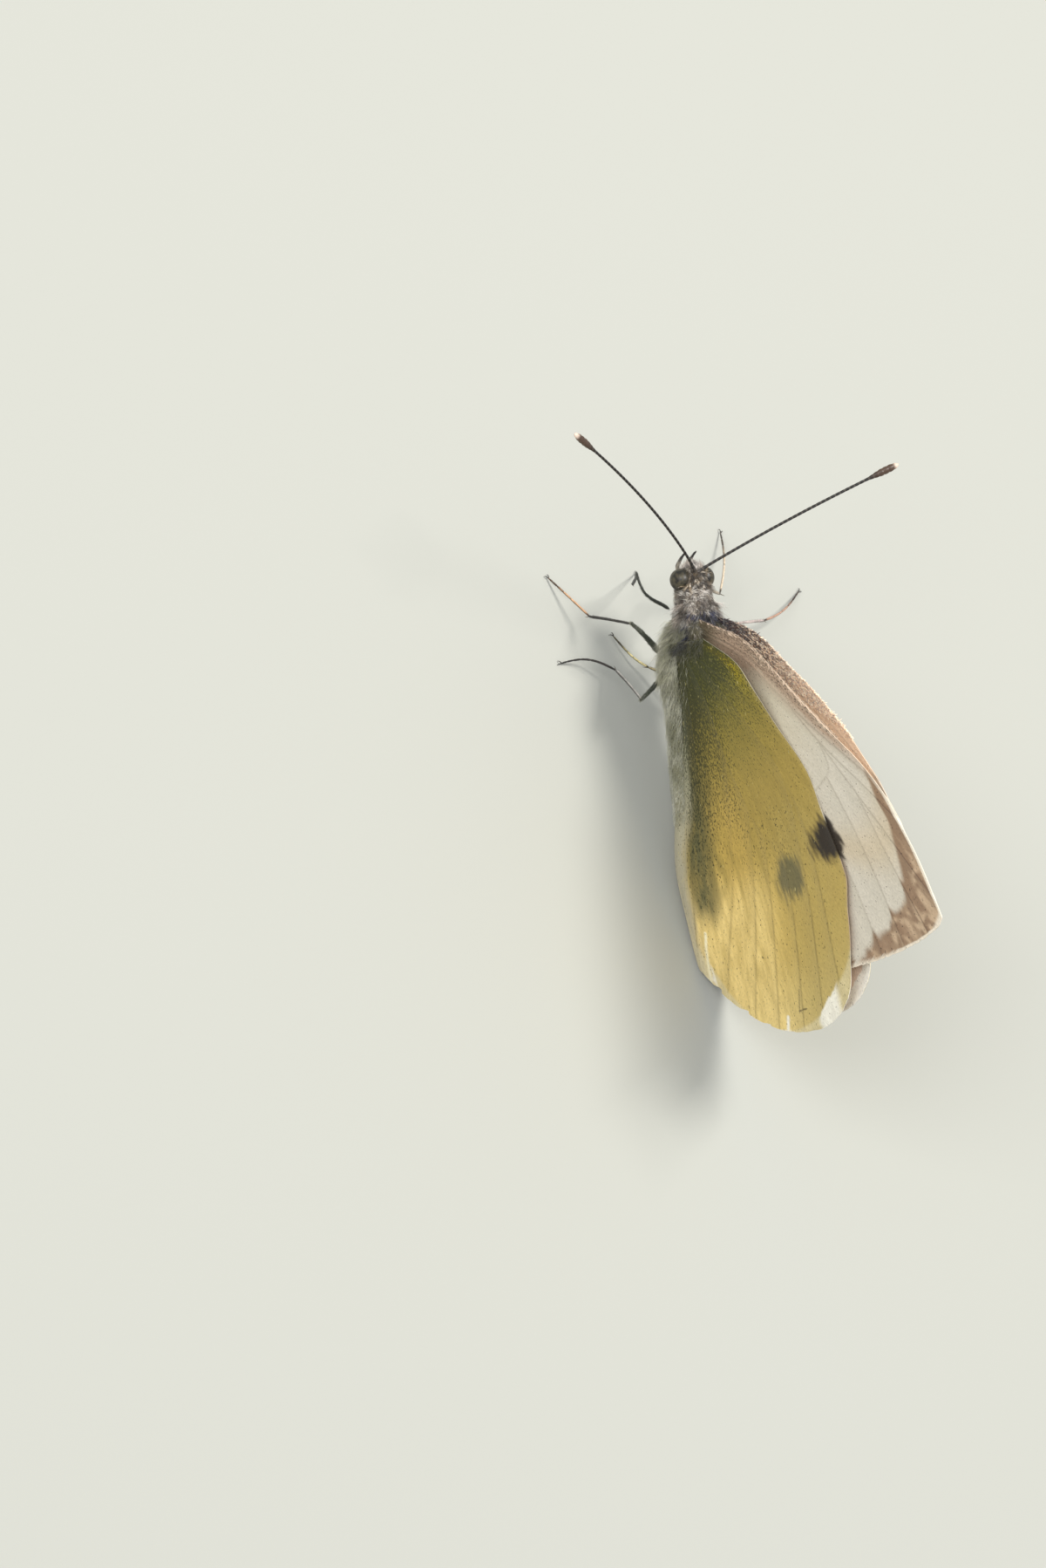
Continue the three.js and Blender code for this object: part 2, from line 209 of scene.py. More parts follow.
class Finish:
    """A material put together node by node on the plain surface, with numbers set on the surface's own dials."""

    def __init__(self, name, **dials):
        self.material = bpy.data.materials.new(name)
        self.material.use_nodes = True
        self.tree = self.material.node_tree
        self.surface = self.tree.nodes["Principled BSDF"]
        self.feed(self.surface, {dial.replace("_", " "): value for dial, value in dials.items()})

    def feed(self, node, values):
        """Gives each named socket of a node a plain value or another node's output."""
        for socket, value in values.items():
            if isinstance(value, bpy.types.NodeSocket):
                self.tree.links.new(value, node.inputs[socket])
            else:
                node.inputs[socket].default_value = value

    def node(self, kind, result, values=None, **settings):
        """Adds a node of this kind with its settings and values, and gives its named output."""
        item = self.tree.nodes.new("ShaderNode" + kind)
        for setting, value in settings.items():
            setattr(item, setting, value)
        self.feed(item, values or {})
        return item.outputs[result]

    def painted(self, name, result="Fac"):
        """The number, or the Color, painted on the mesh under this name."""
        return self.node("Attribute", result, attribute_name=name)

    def ranged(self, source, low, high, start, end):
        """The source carried from one range to another, held at its ends."""
        sockets = ("Value", "From Min", "From Max", "To Min", "To Max")
        return self.node("MapRange", "Result", dict(zip(sockets, (source, low, high, start, end))))

    def summed(self, first, factor, second):
        """The first times the factor plus the second."""
        return self.node("Math", "Value", {0: first, 1: factor, 2: second}, operation="MULTIPLY_ADD")

    def blended(self, kind, factor, under, over):
        """Two colours blended by the factor."""
        sockets = {"Factor": factor, "A": under, "B": over}
        return self.node("Mix", "Result", sockets, data_type="RGBA", blend_type=kind)

    def done(self, colour, height, strength, depth, **settings):
        """The material, with this colour and a bump as deep as the depth in metres where the height is 1."""
        values = {"Height": height, "Strength": strength, "Distance": depth}
        bump = self.node("Bump", "Normal", values, **settings)
        self.feed(self.surface, {"Base Color": colour, "Normal": bump})
        return self.material


def coat_paint(name, size, rough, sheen, depth, contrast=0.22, **dials):
    """Material that takes its painted colour, varies it with a noise of that size (in metres) and bumps it; the
    roughness follows the same noise."""
    paint = Finish(name, **{"Specular_IOR_Level": 0.35, "Sheen_Weight": sheen, **dials})
    place = paint.node("TexCoord", "Object")
    noise = paint.node("TexNoise", "Fac", {"Vector": place, "Scale": 1.0 / size, "Detail": 4.0})
    shade = paint.ranged(noise, 0.3, 0.7, 1 - contrast, 1 + contrast)
    paint.feed(paint.surface, {"Roughness": paint.ranged(noise, 0.0, 1.0, rough - 0.12, rough + 0.12)})
    return paint.done(paint.blended("MULTIPLY", 1.0, paint.painted("colour", "Color"), shade), noise, 0.6, depth)


row_back = SKIN_FRONT + (SKIN_REAR - SKIN_FRONT) * (1 - np.cos(np.linspace(0, np.pi, SKIN_ROWS))) / 2
row_turn = np.linspace(0, 2 * np.pi, SKIN_COLS, endpoint=False)
back_grid, turn_grid = np.meshgrid(row_back, row_turn, indexing="ij")
body_skin = to_piece("body_skin", *round_grid(stood(body_point(back_grid, turn_grid))))
skin_colour = body_tone(back_grid, turn_grid, np.random.default_rng(5))
# The skin takes 0.45 of the coat's colour: the dark body under the hair, and painted shade in the gaps between hairs.
paint(body_skin, "colour", vertex_colours(skin_colour) * SKIN_SHADE)
body_skin.data.materials.append(coat_paint("body_scaly_skin", 0.00012, 0.72, 0.2, 0.00004))
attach(body_skin, "root")
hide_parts("head", "thorax", "abdomen")


# --- Coat of the body ------------------------------------------------------------------------------------------------
# Long silky hairs on the thorax, a ruffled collar, short bristling hairs on the head and flat scales on the abdomen.
# Each is a thin three-sided tuft rooted in the skin that bends along the lie of the coat.


def unit(ways):
    """Ways brought to length 1."""
    return ways / (np.linalg.norm(ways, axis=-1, keepdims=True) + 1e-12)


def tufts(root, normal, way, long, wide, rise, droop):
    """Points and faces of many tufts: each is a flattened triangle at the root and at 0.45 of its length and a point
    at the tip, and its middle runs along the way, rising off the skin by rise s - droop s^2 at share s."""
    side = unit(np.cross(way, normal))
    rings = []
    for share, full in ((0.0, 1.0), (0.45, 0.85)):
        middle = root + (way * share + normal * (rise * share - droop * share**2)[:, None]) * long[:, None]
        for turn in (0.5, 2.6, 4.7):
            around = side * np.cos(turn + np.pi / 2) + normal * 0.55 * np.sin(turn + np.pi / 2)
            rings.append(middle + around * (wide * full)[:, None])
    tip = root + (way + normal * (rise - droop)[:, None]) * long[:, None]
    points = np.stack(rings + [tip], 1)
    start = np.arange(len(root))[:, None] * 7
    quads = np.concatenate([start + np.array([k, (k + 1) % 3, 3 + (k + 1) % 3, 3 + k]) for k in range(3)])
    tris = np.concatenate([start + np.array([3 + k, 3 + (k + 1) % 3, 6]) for k in range(3)])
    return points.reshape(-1, 3), quads, np.concatenate([tris, start + np.array([2, 1, 0])])


def lay_uv(piece, name, uv):
    """Stores a flat place for each vertex in a named UV map."""
    corner = np.empty(len(piece.data.loops), np.int32)
    piece.data.loops.foreach_get("vertex_index", corner)
    piece.data.uv_layers.new(name=name).data.foreach_set("uv", uv[corner].astype(np.float32).ravel())


BAKE_PATCH = np.array([[-1, -1], [0, -1], [1, -1], [-1, 0.2], [0, 0.2], [1, 0.2], [0, 1]]) * 0.0015


def coat_piece(name, grown, colour, place, material, root=0.55, middle=0.95, tip=1.15):
    """One coat piece: its tufts, with painted shade at the root and a painted highlight at the tip, with the map
    OFBake, where each tuft is a patch 0.003 across at its root's place on an unwrap of what it grows on."""
    points, quads, tris = grown
    piece = to_piece(name, stood(points), quads, tris)
    # Painted shade and light along each tuft: root rings at 0.55 of its colour, middle at 0.95, tip at 1.15.
    shade = np.repeat((root, middle, tip), (3, 3, 1))
    paint(piece, "colour", (colour[:, None, :] * shade[None, :, None]).reshape(-1, 3))
    lay_uv(piece, "OFBake", (place[:, None, :] + BAKE_PATCH[None]).reshape(-1, 2))
    piece.data.materials.append(material)
    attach(piece, "root")


def on_skin(back, turn):
    """Roots on the skin at these places, with the normal and the ways along the back and round the body."""
    here = body_point(back, turn)
    rear = body_point(back + 0.02, turn) - here
    round_way = body_point(back, turn + 0.02) - here
    normal = np.cross(round_way, rear)
    normal *= np.sign(np.sum(normal * (here - np.stack([back, 0 * back, body_section(back)[2]], -1)), 1))[:, None]
    return back, turn, here, unit(normal), unit(rear), unit(round_way)


def on_body(count, low, high, rng, thin=None):
    """Random roots on the skin between two distances back; thin gives the share kept at each place."""
    back, turn = rng.uniform(low, high, count), rng.uniform(-np.pi, np.pi, count)
    if thin is not None:
        keep = rng.random(count) < thin(back, turn)
        back, turn = back[keep], turn[keep]
    return on_skin(back, turn)


def in_locks(count, each, spread, low, high, rng, thin=None):
    """Roots gathered in locks: so many middles at random, and round each some roots scattered by the spread in
    millimetres. Gives the roots, the number of each root's lock, and the middles."""
    middle = on_body(count, low, high, rng, thin)[:2]
    own = np.repeat(np.arange(len(middle[0])), each)
    back = np.clip(middle[0][own] + rng.normal(0, spread, len(own)), -5.4, 17.8)
    turn = middle[1][own] + rng.normal(0, spread, len(own)) / np.maximum(body_section(back)[0], 0.4)
    return on_skin(back, turn), own, middle


def skin_place(back, turn):
    """A root's place on the unwrap of the skin: distance back across, turn round the body up, in a 0 to 1 square."""
    share = (back - SKIN_FRONT) / (SKIN_REAR - SKIN_FRONT)
    return np.stack([0.01 + 0.98 * share, 0.5 + 0.98 * np.arctan2(np.sin(turn), np.cos(turn)) / (2 * np.pi)], -1)


def waver(x, seed, count=6):
    """Wandering line: a sum of sines whose lengths shrink and whose starts come from the seed, between -1 and 1."""
    rng = np.random.default_rng(seed)
    start, stretch = rng.uniform(0, 6.28, count), rng.uniform(0.85, 1.15, count)
    return sum(np.sin(x * stretch[k] * 1.7**k + start[k]) / 1.35**k for k in range(count)) / 2.6


def clumps(back, turn, seed):
    """Shade of the lock that a root belongs to, between -1 and 1: two wandering lines across the back and round it."""
    one = waver(back * 6 + 2.5 * np.sin(turn * 4), seed) + waver(turn * 9 + 3 * np.sin(back * 3), seed + 1)
    return np.clip(one, -1, 1)


hair_paint = coat_paint("body_silky_hair", 0.0002, 0.55, 0.35, 0.00001, 0.18)


def grow(
    name, picked, rng, long, wide, flat, along, around, colour,
    droop=0.6, own=None, tangle=0.0, material=hair_paint,
):
    """Grows a coat piece on picked roots: ranges for length, width and rise, combing along and round the body. Roots
    in locks share their lock's own shade and its own turn from the comb, whose spread is the tangle in radians."""
    back, turn, here, normal, rear, round_way = picked
    count = len(back)
    if own is None:
        lock, bend = clumps(back, turn, int(rng.integers(1000))), 0.0
        depth, loose, swirl = 0.24, 0.22, 0.35
    else:
        lock, bend = rng.uniform(-1, 1, own.max() + 1)[own], rng.normal(0, tangle, own.max() + 1)[own]
        depth, loose, swirl = 0.42, 0.3, 0.0
    along, around = along + 0 * back, around + rng.normal(0, loose, count) + swirl * lock
    along, around = along * np.cos(bend) - around * np.sin(bend), along * np.sin(bend) + around * np.cos(bend)
    way = unit(rear * along[:, None] + round_way * around[:, None])
    reach = rng.uniform(*long, count) * (1 + 0.25 * lock)
    rise = rng.uniform(*flat, count) * (1 + 0.3 * lock)
    grown = tufts(here, normal, way, reach, rng.uniform(*wide, count), rise, droop * rise)
    shade = colour * (1 + depth * lock[:, None]) * rng.uniform(0.82, 1.18, (count, 1))
    return coat_piece(name, grown, shade, skin_place(back, turn), material)


def specked(shade, rng, dark, white):
    """Turns some of the tufts dark and some white, the rest keeping their own shade."""
    pick = rng.random(len(shade))
    shade = mixed(shade, tone(48, 42, 38), (pick < dark) * 0.9)
    return mixed(shade, tone(232, 226, 218), (pick > 1 - white) * 0.8)


# Head: short on the face, tangled in locks on the crown, brushed out over the rims of the eyes, with a pale tuft
# thrown forward between the feelers.
rng = np.random.default_rng(71)
picked = on_body(7000, -5.38, -3.25, rng)
shade = specked(body_tone(*picked[:2], rng), rng, 0.25, 0.1) * 0.68
grow("head_hair", picked, rng, (0.14, 0.28), (0.013, 0.028), (0.3, 1.0), 0.8, 0, shade, 0.4)
picked, own, middle = in_locks(230, 16, 0.045, -5.1, -3.3, rng, lambda b, a: 1.0 * (np.abs(a) < 1.2))
shade = (specked(body_tone(*middle, rng) * 0.85, rng, 0.34, 0.2) * np.array([1.0, 0.92, 0.8]))[own]
grow("crown_hair", picked, rng, (0.22, 0.42), (0.012, 0.024), (0.4, 1.3), 0.7, 0, shade, 0.6, own, 1.3)


def over_eyes(back, turn):
    """Share of locks kept over the rims of the eyes: half as many on the left as on the right."""
    return np.where(turn > 0, 0.5, 1.0) * (np.abs(np.abs(turn) - 0.82) < 0.26)


picked, own, middle = in_locks(520, 12, 0.04, -4.95, -3.7, rng, over_eyes)
shade = specked(mixed(body_tone(*middle, rng), tone(152, 134, 108), 0.8), rng, 0.25, 0.12)[own]
out = 1.2 * np.sign(picked[1])
grow("brow_hair", picked, rng, (0.35, 0.8), (0.010, 0.02), (0.7, 1.3), 0.3, out, shade, 0.8, own, 0.6)
picked, own, middle = in_locks(90, 14, 0.05, -5.38, -4.9, rng, lambda b, a: 1.0 * (np.abs(a) < 1.5))
shade = specked(mixed(body_tone(*middle, rng), tone(206, 192, 182), 0.6), rng, 0.2, 0.3)[own]
grow("face_hair", picked, rng, (0.3, 0.6), (0.01, 0.018), (0.3, 0.9), -1.0, 0, shade, 0.4, own, 0.4)

# Collar: a broad ruff of pale woolly locks between head and thorax, tangled every way over a dark skin, that stands
# out over the shoulders. The dark of the skin and of the nap under the locks is partly painted shade between them.
rng = np.random.default_rng(72)
picked = on_body(5500, -3.7, -2.1, rng)
shade = specked(body_tone(*picked[:2], rng), rng, 0.3, 0.1) * 0.8
grow("collar_nap", picked, rng, (0.25, 0.5), (0.013, 0.024), (0.4, 1.1), 0.6, 0, shade, 0.35)
picked, own, middle = in_locks(620, 18, 0.05, -3.75, -2.2, rng, lambda b, a: 1.0 * (np.abs(a) < 2.4))
shade = specked(body_tone(*middle, rng) * 1.09, rng, 0.2, 0.28)[own]
grow("collar_locks", picked, rng, (0.3, 0.6), (0.010, 0.020), (0.5, 1.3), 0.7, 0, shade, 0.7, own, 1.0)
picked, own, middle = in_locks(150, 16, 0.06, -2.9, -1.9, rng, lambda b, a: 1.0 * (np.abs(np.abs(a) - 1.15) < 0.45))
shade = specked(mixed(tone(176, 162, 150), tone(120, 112, 100), rng.random(len(middle[0]))), rng, 0.2, 0.2)[own]
out = np.where(picked[1] > 0, 0.35, -0.7)
grow("ruff_locks", picked, rng, (0.6, 1.1), (0.010, 0.019), (0.8, 1.5), 0.9, out, shade, 0.45, own, 0.5)

# Thorax: a close nap under long silky hair that flows back over the wing roots and stands out at the sides, with
# white cottony strands thrown over the slate of the back.
rng = np.random.default_rng(73)
picked = on_body(12000, -2.0, 3.4, rng)
sweep = 0.3 * np.sign(picked[1]) * ease(0.8, 1.6, np.abs(picked[1]))
shade = body_tone(*picked[:2], rng)
grow("thorax_nap", picked, rng, (0.3, 0.6), (0.015, 0.028), (0.15, 0.5), 1.0, sweep, shade)
picked = on_body(7000, -1.9, 2.9, rng, lambda b, a: ease(1.0, 1.4, np.abs(a)))
side = np.abs(picked[1])
sweep = 0.35 * np.sign(picked[1]) * ease(0.8, 1.6, side)
shade = mixed(body_tone(*picked[:2], rng), tone(204, 202, 172), 0.6 * ease(1.1, 1.5, side))
shade = specked(shade, rng, 0.1, 0.08)
grow("thorax_silk", picked, rng, (0.7, 1.4), (0.008, 0.015), (0.3, 1.0), 0.9, sweep, shade, 0.5)


def on_flank(back, turn):
    """Share of locks kept along the flanks: none on top and none under the belly."""
    return ease(1.0, 1.3, np.abs(turn)) * (np.abs(turn) < 2.5)


picked, own, middle = in_locks(260, 12, 0.07, -1.9, 2.9, rng, on_flank)
shade = mixed(tone(126, 124, 92), tone(216, 212, 186), rng.random(len(middle[0])))[own]
sweep = 0.4 * np.sign(picked[1])
grow("flank_locks", picked, rng, (0.7, 1.3), (0.009, 0.016), (0.5, 1.2), 0.9, sweep, shade, 0.55, own, 0.45)
picked, own, middle = in_locks(150, 16, 0.05, -2.35, -1.65, rng, lambda b, a: 1.0 * (a > 0.28) * (a < 1.5))
shade = specked(mixed(body_tone(*middle, rng), tone(232, 230, 224), 0.9), rng, 0.04, 0.3)[own]
grow("cotton_tufts", picked, rng, (0.5, 1.0), (0.008, 0.015), (0.3, 0.8), 1.0, 0.3, shade, 0.6, own, 0.5)

# Shoulders: slate blue hair between the wings' hinges, and before each hindwing black hair that is partly painted
# shade of the crease.
rng = np.random.default_rng(75)
picked = on_body(6500, -2.4, 0.4, rng, lambda b, a: 1.0 * (np.abs(a + 0.15) < 0.95))
shade = mixed(tone(22, 25, 50), tone(66, 72, 110), rng.random(len(picked[0])) ** 1.5)
shade = specked(shade, rng, 0.25, 0.08)
out = 0.5 * np.sign(picked[1])
grow("slate_hair", picked, rng, (0.35, 0.75), (0.014, 0.026), (0.6, 1.3), 0.9, out, shade, 0.3)


def on_crease_shade(back, turn):
    """1 on the short slanting line of the crease before the hindwing, whose black hair is partly painted shade, 0 off
    it.
    """
    side = np.abs(turn)
    return 1.0 * (np.abs(back + 2.1 - 2 * side) < 0.18) * (np.abs(side - 0.89) < 0.13)


# Near-black tufts along the crease: dark hair, and painted shade where wing and thorax meet.
picked = on_body(7000, -0.75, 0.3, rng, on_crease_shade)
shade = specked(mixed(tone(20, 19, 17), tone(46, 44, 36), rng.random(len(picked[0]))), rng, 0.1, 0.03)
grow("crease_shade_hair", picked, rng, (0.3, 0.6), (0.014, 0.024), (0.5, 1.2), 0.8, 0, shade, 0.4)

# Wing caps: a small horny scoop over each forewing's hinge, lumpy like a shell and shaggy with olive grey hair.
CAP_BACK, CAP_OUT, CAP_UP, CAP_HALF = -0.92, {1: 1.3, -1: 0.95}, {1: 2.5, -1: 1.7}, (0.52, 0.3, 0.38)
CAP_HAIRS = 1300


def cap_point(down, turn, sign):
    """A place on a wing cap: an oval ball, 0.08 fuller and thinner in five lobes round it, and hollow at the rear."""
    lobes = 1 + 0.08 * np.sin(5 * turn + 1) * np.sin(down) - 0.12 * bell(turn, 3.1, 0.6) * np.sin(down)
    back = CAP_BACK - CAP_HALF[0] * np.sin(down) * np.cos(turn) * lobes
    left = CAP_OUT[sign] + CAP_HALF[1] * np.cos(down)
    up = CAP_UP[sign] + CAP_HALF[2] * np.sin(down) * np.sin(turn) * lobes
    return np.stack([back, sign * left + 0 * turn, up], -1)


def pressed(way, normal):
    """Ways laid flat on a surface: less their part along its normal, at length 1."""
    return unit(way - normal * np.sum(way * normal, 1)[:, None])


cap_paint = coat_paint("wing_cap_horn", 0.0001, 0.6, 0.2, 0.00003, 0.3)
for side, sign in (("left", 1), ("right", -1)):
    down, turn = np.meshgrid(np.linspace(0, np.pi, 24), np.linspace(0, 2 * np.pi, 40, endpoint=False), indexing="ij")
    points, quads, fans = round_grid(cap_point(down, turn, sign))
    cap = to_piece(f"wing_cap_{side}", stood(points), quads, fans)
    paint(cap, "colour", mixed(tone(70, 66, 50), tone(110, 104, 82), 0.5 + 0.5 * waver(points[:, 0] * 9, 76)))
    cap.data.materials.append(cap_paint)
    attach(cap, "root")
    down, turn = rng.uniform(0.05, 1.75, CAP_HAIRS), rng.uniform(-np.pi, np.pi, CAP_HAIRS)
    here = cap_point(down, turn, sign)
    middle = np.array([CAP_BACK, sign * CAP_OUT[sign], CAP_UP[sign]])
    normal = unit((here - middle) / np.array(CAP_HALF) ** 2)
    way = pressed(np.array([0.8, 0, 0.25]) + rng.normal(0, 0.35, (CAP_HAIRS, 3)), normal)
    shade = mixed(tone(84, 80, 54), tone(158, 150, 120), rng.random(CAP_HAIRS) ** 1.6)
    shade = specked(shade, rng, 0.2, 0.06)
    reach, rise = rng.uniform(0.25, 0.6, CAP_HAIRS), rng.uniform(0.3, 1.1, CAP_HAIRS)
    grown = tufts(here, normal, way, reach, rng.uniform(0.009, 0.018, CAP_HAIRS), rise, 0.5 * rise)
    spot = np.stack([0.02 + 0.96 * down / 1.8, 0.5 + 0.96 * turn / (2 * np.pi)], -1)
    coat_piece(f"wing_cap_{side}_hair", grown, shade, spot, hair_paint)

# Abdomen: broad flat scales that overlap like tiles, a little longer at its tip.
rng = np.random.default_rng(74)
picked = on_body(15000, 2.8, 17.78, rng)
shade = body_tone(*picked[:2], rng)
scale_paint = coat_paint("abdomen_flat_scales", 0.0002, 0.62, 0.3, 0.00001, 0.16)
grow(
    "abdomen_scales", picked, rng, (0.26, 0.46), (0.03, 0.05), (0.05, 0.2), 1.0, 0, shade,
    material=scale_paint,
)

# --- Eyes ------------------------------------------------------------------------------------------------------------
# Two compound eyes, domes of thousands of hexagonal lenses, dark olive with blotches of pigment showing through. Each
# is an oval ball set in the side of the head, its lenses a fine honeycomb in the bump.
EYE_BACK, EYE_OUT, EYE_UP = -4.45, 0.92, 0.85
EYE_LONG, EYE_WIDE, EYE_HIGH = 0.73, 0.66, 0.75


def ball(middle, half):
    """An oval ball: half sizes along back, left and up times the unit sphere's parts, with its poles out to the sides
    so that no seam faces the viewer."""
    t, a = np.meshgrid(np.linspace(0, np.pi, 40), np.linspace(0, 2 * np.pi, 64, endpoint=False), indexing="ij")
    sphere = np.stack([np.sin(t) * np.cos(a), np.cos(t), np.sin(t) * np.sin(a)], -1)
    return round_grid(stood(np.array(middle) + sphere * np.array(half)))


finish = Finish("eye_dark_olive_lenses", Roughness=0.42, Coat_Weight=0.12, Coat_Roughness=0.3)
place = finish.node("TexCoord", "Object")
blotch = finish.node("TexNoise", "Fac", {"Vector": place, "Scale": 3600, "Detail": 2})
lenses = finish.node("TexVoronoi", "Distance", {"Vector": place, "Scale": 19000})
pigment = finish.node("ValToRGB", "Color", {"Fac": blotch})
for stop, at, shade in zip(pigment.node.color_ramp.elements, (0.38, 0.62), (tone(20, 18, 13), tone(74, 68, 50))):
    stop.position, stop.color = at, (*shade, 1)
eye_paint = finish.done(pigment, lenses, 0.5, 0.00001, invert=True)
for side, sign in (("left", 1), ("right", -1)):
    eye = to_piece(f"eye_{side}_dome", *ball((EYE_BACK, sign * EYE_OUT, EYE_UP), (EYE_LONG, EYE_WIDE, EYE_HIGH)))
    eye.data.materials.append(eye_paint)
    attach(eye, "root")
    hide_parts(f"eye_{side}")

# --- Palps -----------------------------------------------------------------------------------------------------------
# Two mouth feelers held up in front of the face, clad in pale scales with long dark bristles. Each is a tapering bent
# spindle of three joints, with its bristles as tufts.
PALP_OUT, PALP_ROOT, PALP_TIP, PALP_THICK, BRISTLES = 0.38, (-5.15, -0.2), (-6.12, 0.98), 0.16, 900


def rounded(share, power):
    """1 along most of a tube and 0 at its ends: sqrt(1 - (2 share - 1)^power)."""
    return np.sqrt(np.clip(1 - (2 * share - 1) ** power, 0, 1))


def square_ways(along, way):
    """Two ways square to each step of a path and to each other, the first also square to the given way."""
    across = unit(np.cross(along, np.array(way, float)))
    return across, np.cross(across, along)


def tube(path, radius, cols=20, flat=1.0, flat_way=(0, 0, 1)):
    """A closed tube along a path: rings square to the path, their radius given for each point, squeezed by flat in
    one direction, and drawn in to a point at both ends by the radius itself."""
    across, over = square_ways(unit(np.gradient(path, axis=0)), flat_way)
    a = np.linspace(0, 2 * np.pi, cols, endpoint=False)
    ring = across[:, None] * np.cos(a)[None, :, None] + over[:, None] * (flat * np.sin(a))[None, :, None]
    grid = path[:, None] + ring * radius[:, None, None]
    grid[0], grid[-1] = path[0], path[-1]
    return grid


def along_curve(start, middle, end, count):
    """Points along the curve (1-t)^2 start + 2t(1-t) middle + t^2 end, gathered towards both ends, and their t."""
    t = (1 - np.cos(np.pi * np.linspace(0, 1, count)[:, None])) / 2
    return (1 - t) ** 2 * np.array(start) + 2 * t * (1 - t) * np.array(middle) + t**2 * np.array(end), t[:, 0]


def on_tube(path, radius, count, rng, low=0.0, high=1.0):
    """Random roots on a tube between two shares of its path, with the share, turn, normal and the way along it."""
    share, turn = rng.uniform(low, high, count), rng.uniform(0, 2 * np.pi, count)
    step = unit(np.gradient(path, axis=0))
    table = np.c_[path, step, radius]
    centre, ahead, (thick,) = np.split(
        np.stack([np.interp(share * (len(path) - 1), np.arange(len(path)), row) for row in table.T]), (3, 6)
    )
    across, over = square_ways(ahead.T, (0.03, 0.02, 1.0))
    normal = across * np.cos(turn)[:, None] + over * np.sin(turn)[:, None]
    return share, turn, centre.T + normal * (thick * 0.93)[:, None], normal, ahead.T


palp_paint = coat_paint("palp_pale_scales", 0.00015, 0.65, 0.25, 0.00002)
for index, (side, sign) in enumerate((("left", 1), ("right", -1))):
    rng = np.random.default_rng(81 + index)
    path, t = along_curve(
        (PALP_ROOT[0], sign * PALP_OUT, PALP_ROOT[1]),
        (-5.72, sign * (PALP_OUT + 0.05), 0.1),
        (PALP_TIP[0], sign * (PALP_OUT + 0.02), PALP_TIP[1]),
        60,
    )
    joint = 1 - 0.2 * bell(t, 0.4, 0.04) - 0.2 * bell(t, 0.78, 0.04)
    radius = PALP_THICK * rounded(t, 8) * (1 - 0.72 * t) * joint
    grid = tube(path, radius)
    palp = to_piece(f"palp_{side}_spindle", *round_grid(stood(grid)))
    pale = mixed(tone(176, 166, 150), tone(40, 34, 32), ease(0.4, 0.75, t))
    paint(palp, "colour", vertex_colours(np.repeat(pale[:, None], grid.shape[1], 1)))
    palp.data.materials.append(palp_paint)
    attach(palp, "root")
    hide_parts(f"palp_{side}")
    share, turn, here, normal, ahead = on_tube(path, radius, BRISTLES, rng, 0.02, 0.97)
    dark = rng.random(BRISTLES) < 0.2 + 1.1 * share
    shade = mixed(tone(202, 194, 178), tone(46, 40, 38), np.where(dark, 1.0, 0.1))
    long = np.where(dark, rng.uniform(0.1, 0.24, BRISTLES), rng.uniform(0.1, 0.2, BRISTLES))
    wide, rise = np.where(dark, 0.009, 0.014), rng.uniform(0.1, 0.4, BRISTLES)
    grown = tufts(here, normal, ahead, long, wide, rise, 0.2 + 0 * long)
    spot = np.stack([0.02 + 0.96 * share, 0.02 + 0.96 * turn / (2 * np.pi)], -1)
    coat_piece(f"palp_{side}_bristles", grown, shade, spot, hair_paint)

# --- Tongue ----------------------------------------------------------------------------------------------------------
# The long sucking tongue, a thin horny ringed tube coiled in three and a half turns like a watch spring under the
# head, its root running up into the mouth between the palps.
COIL_BACK, COIL_UP, COIL_IN, COIL_OUT, COIL_TURNS = -4.68, -0.86, 0.12, 0.5, 3.5
MOUTH, TONGUE_THICK, TONGUE_RINGS = (-5.0, 0, -0.05), 0.055, 12


def run_along(path):
    """The distance run along a path up to each of its points."""
    return np.cumsum(np.r_[0, np.linalg.norm(np.diff(path, axis=0), axis=1)])


t = np.linspace(0, 1, 420)
angle = np.pi * (0.55 + 2 * COIL_TURNS * t)
reach = COIL_OUT + (COIL_IN - COIL_OUT) * t
path = np.stack([COIL_BACK + reach * np.cos(angle), 0 * t, COIL_UP + reach * np.sin(angle)], -1)
mouth = np.array(MOUTH)
path = np.vstack([mouth + (path[0] - mouth) * np.linspace(0, 0.95, 12)[:, None], path])
t = np.concatenate([np.zeros(12), t])
long = run_along(path)
radius = TONGUE_THICK * (1 - 0.4 * t) * (1 + 0.05 * np.sin(long * 90)) * rounded(long / long[-1], 80)
grid = tube(path, radius, TONGUE_RINGS, 0.9, (0, 1, 0))
tongue = to_piece("tongue_coil", *round_grid(stood(grid)))
shade = mixed(tone(62, 48, 36), tone(96, 74, 52), 0.5 + 0.5 * np.sin(long * 45))
paint(tongue, "colour", vertex_colours(np.repeat(shade[:, None], TONGUE_RINGS, 1)))
horn_dials = {"Specular_IOR_Level": 0.5, "Coat_Weight": 0.2}
tongue.data.materials.append(coat_paint("tongue_brown_horn", 0.0001, 0.4, 0.0, 0.00001, 0.2, **horn_dials))
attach(tongue, "root")
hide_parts("proboscis")

# --- Feelers ---------------------------------------------------------------------------------------------------------
# Two long feelers of some forty short joints, dark above with a pale ring at each joint, that end in a flattened brown
# club with a pale tip. One tube each, its radius swelling into the club.
FEELERS = {  # root, tip, bow and arch
    "left": ((-4.86, 0.36, 1.66), (-14.25, 11.95, 7.52), 0.8, 0.36),
    "right": ((-4.86, 0.04, 1.66), (-10.25, -13.32, 6.52), 0.3, 0.1),
}
SHAFT, CLUB, CLUB_SHARE, JOINT_LONG, RINGS = 0.097, 0.25, 0.88, 0.36, 16

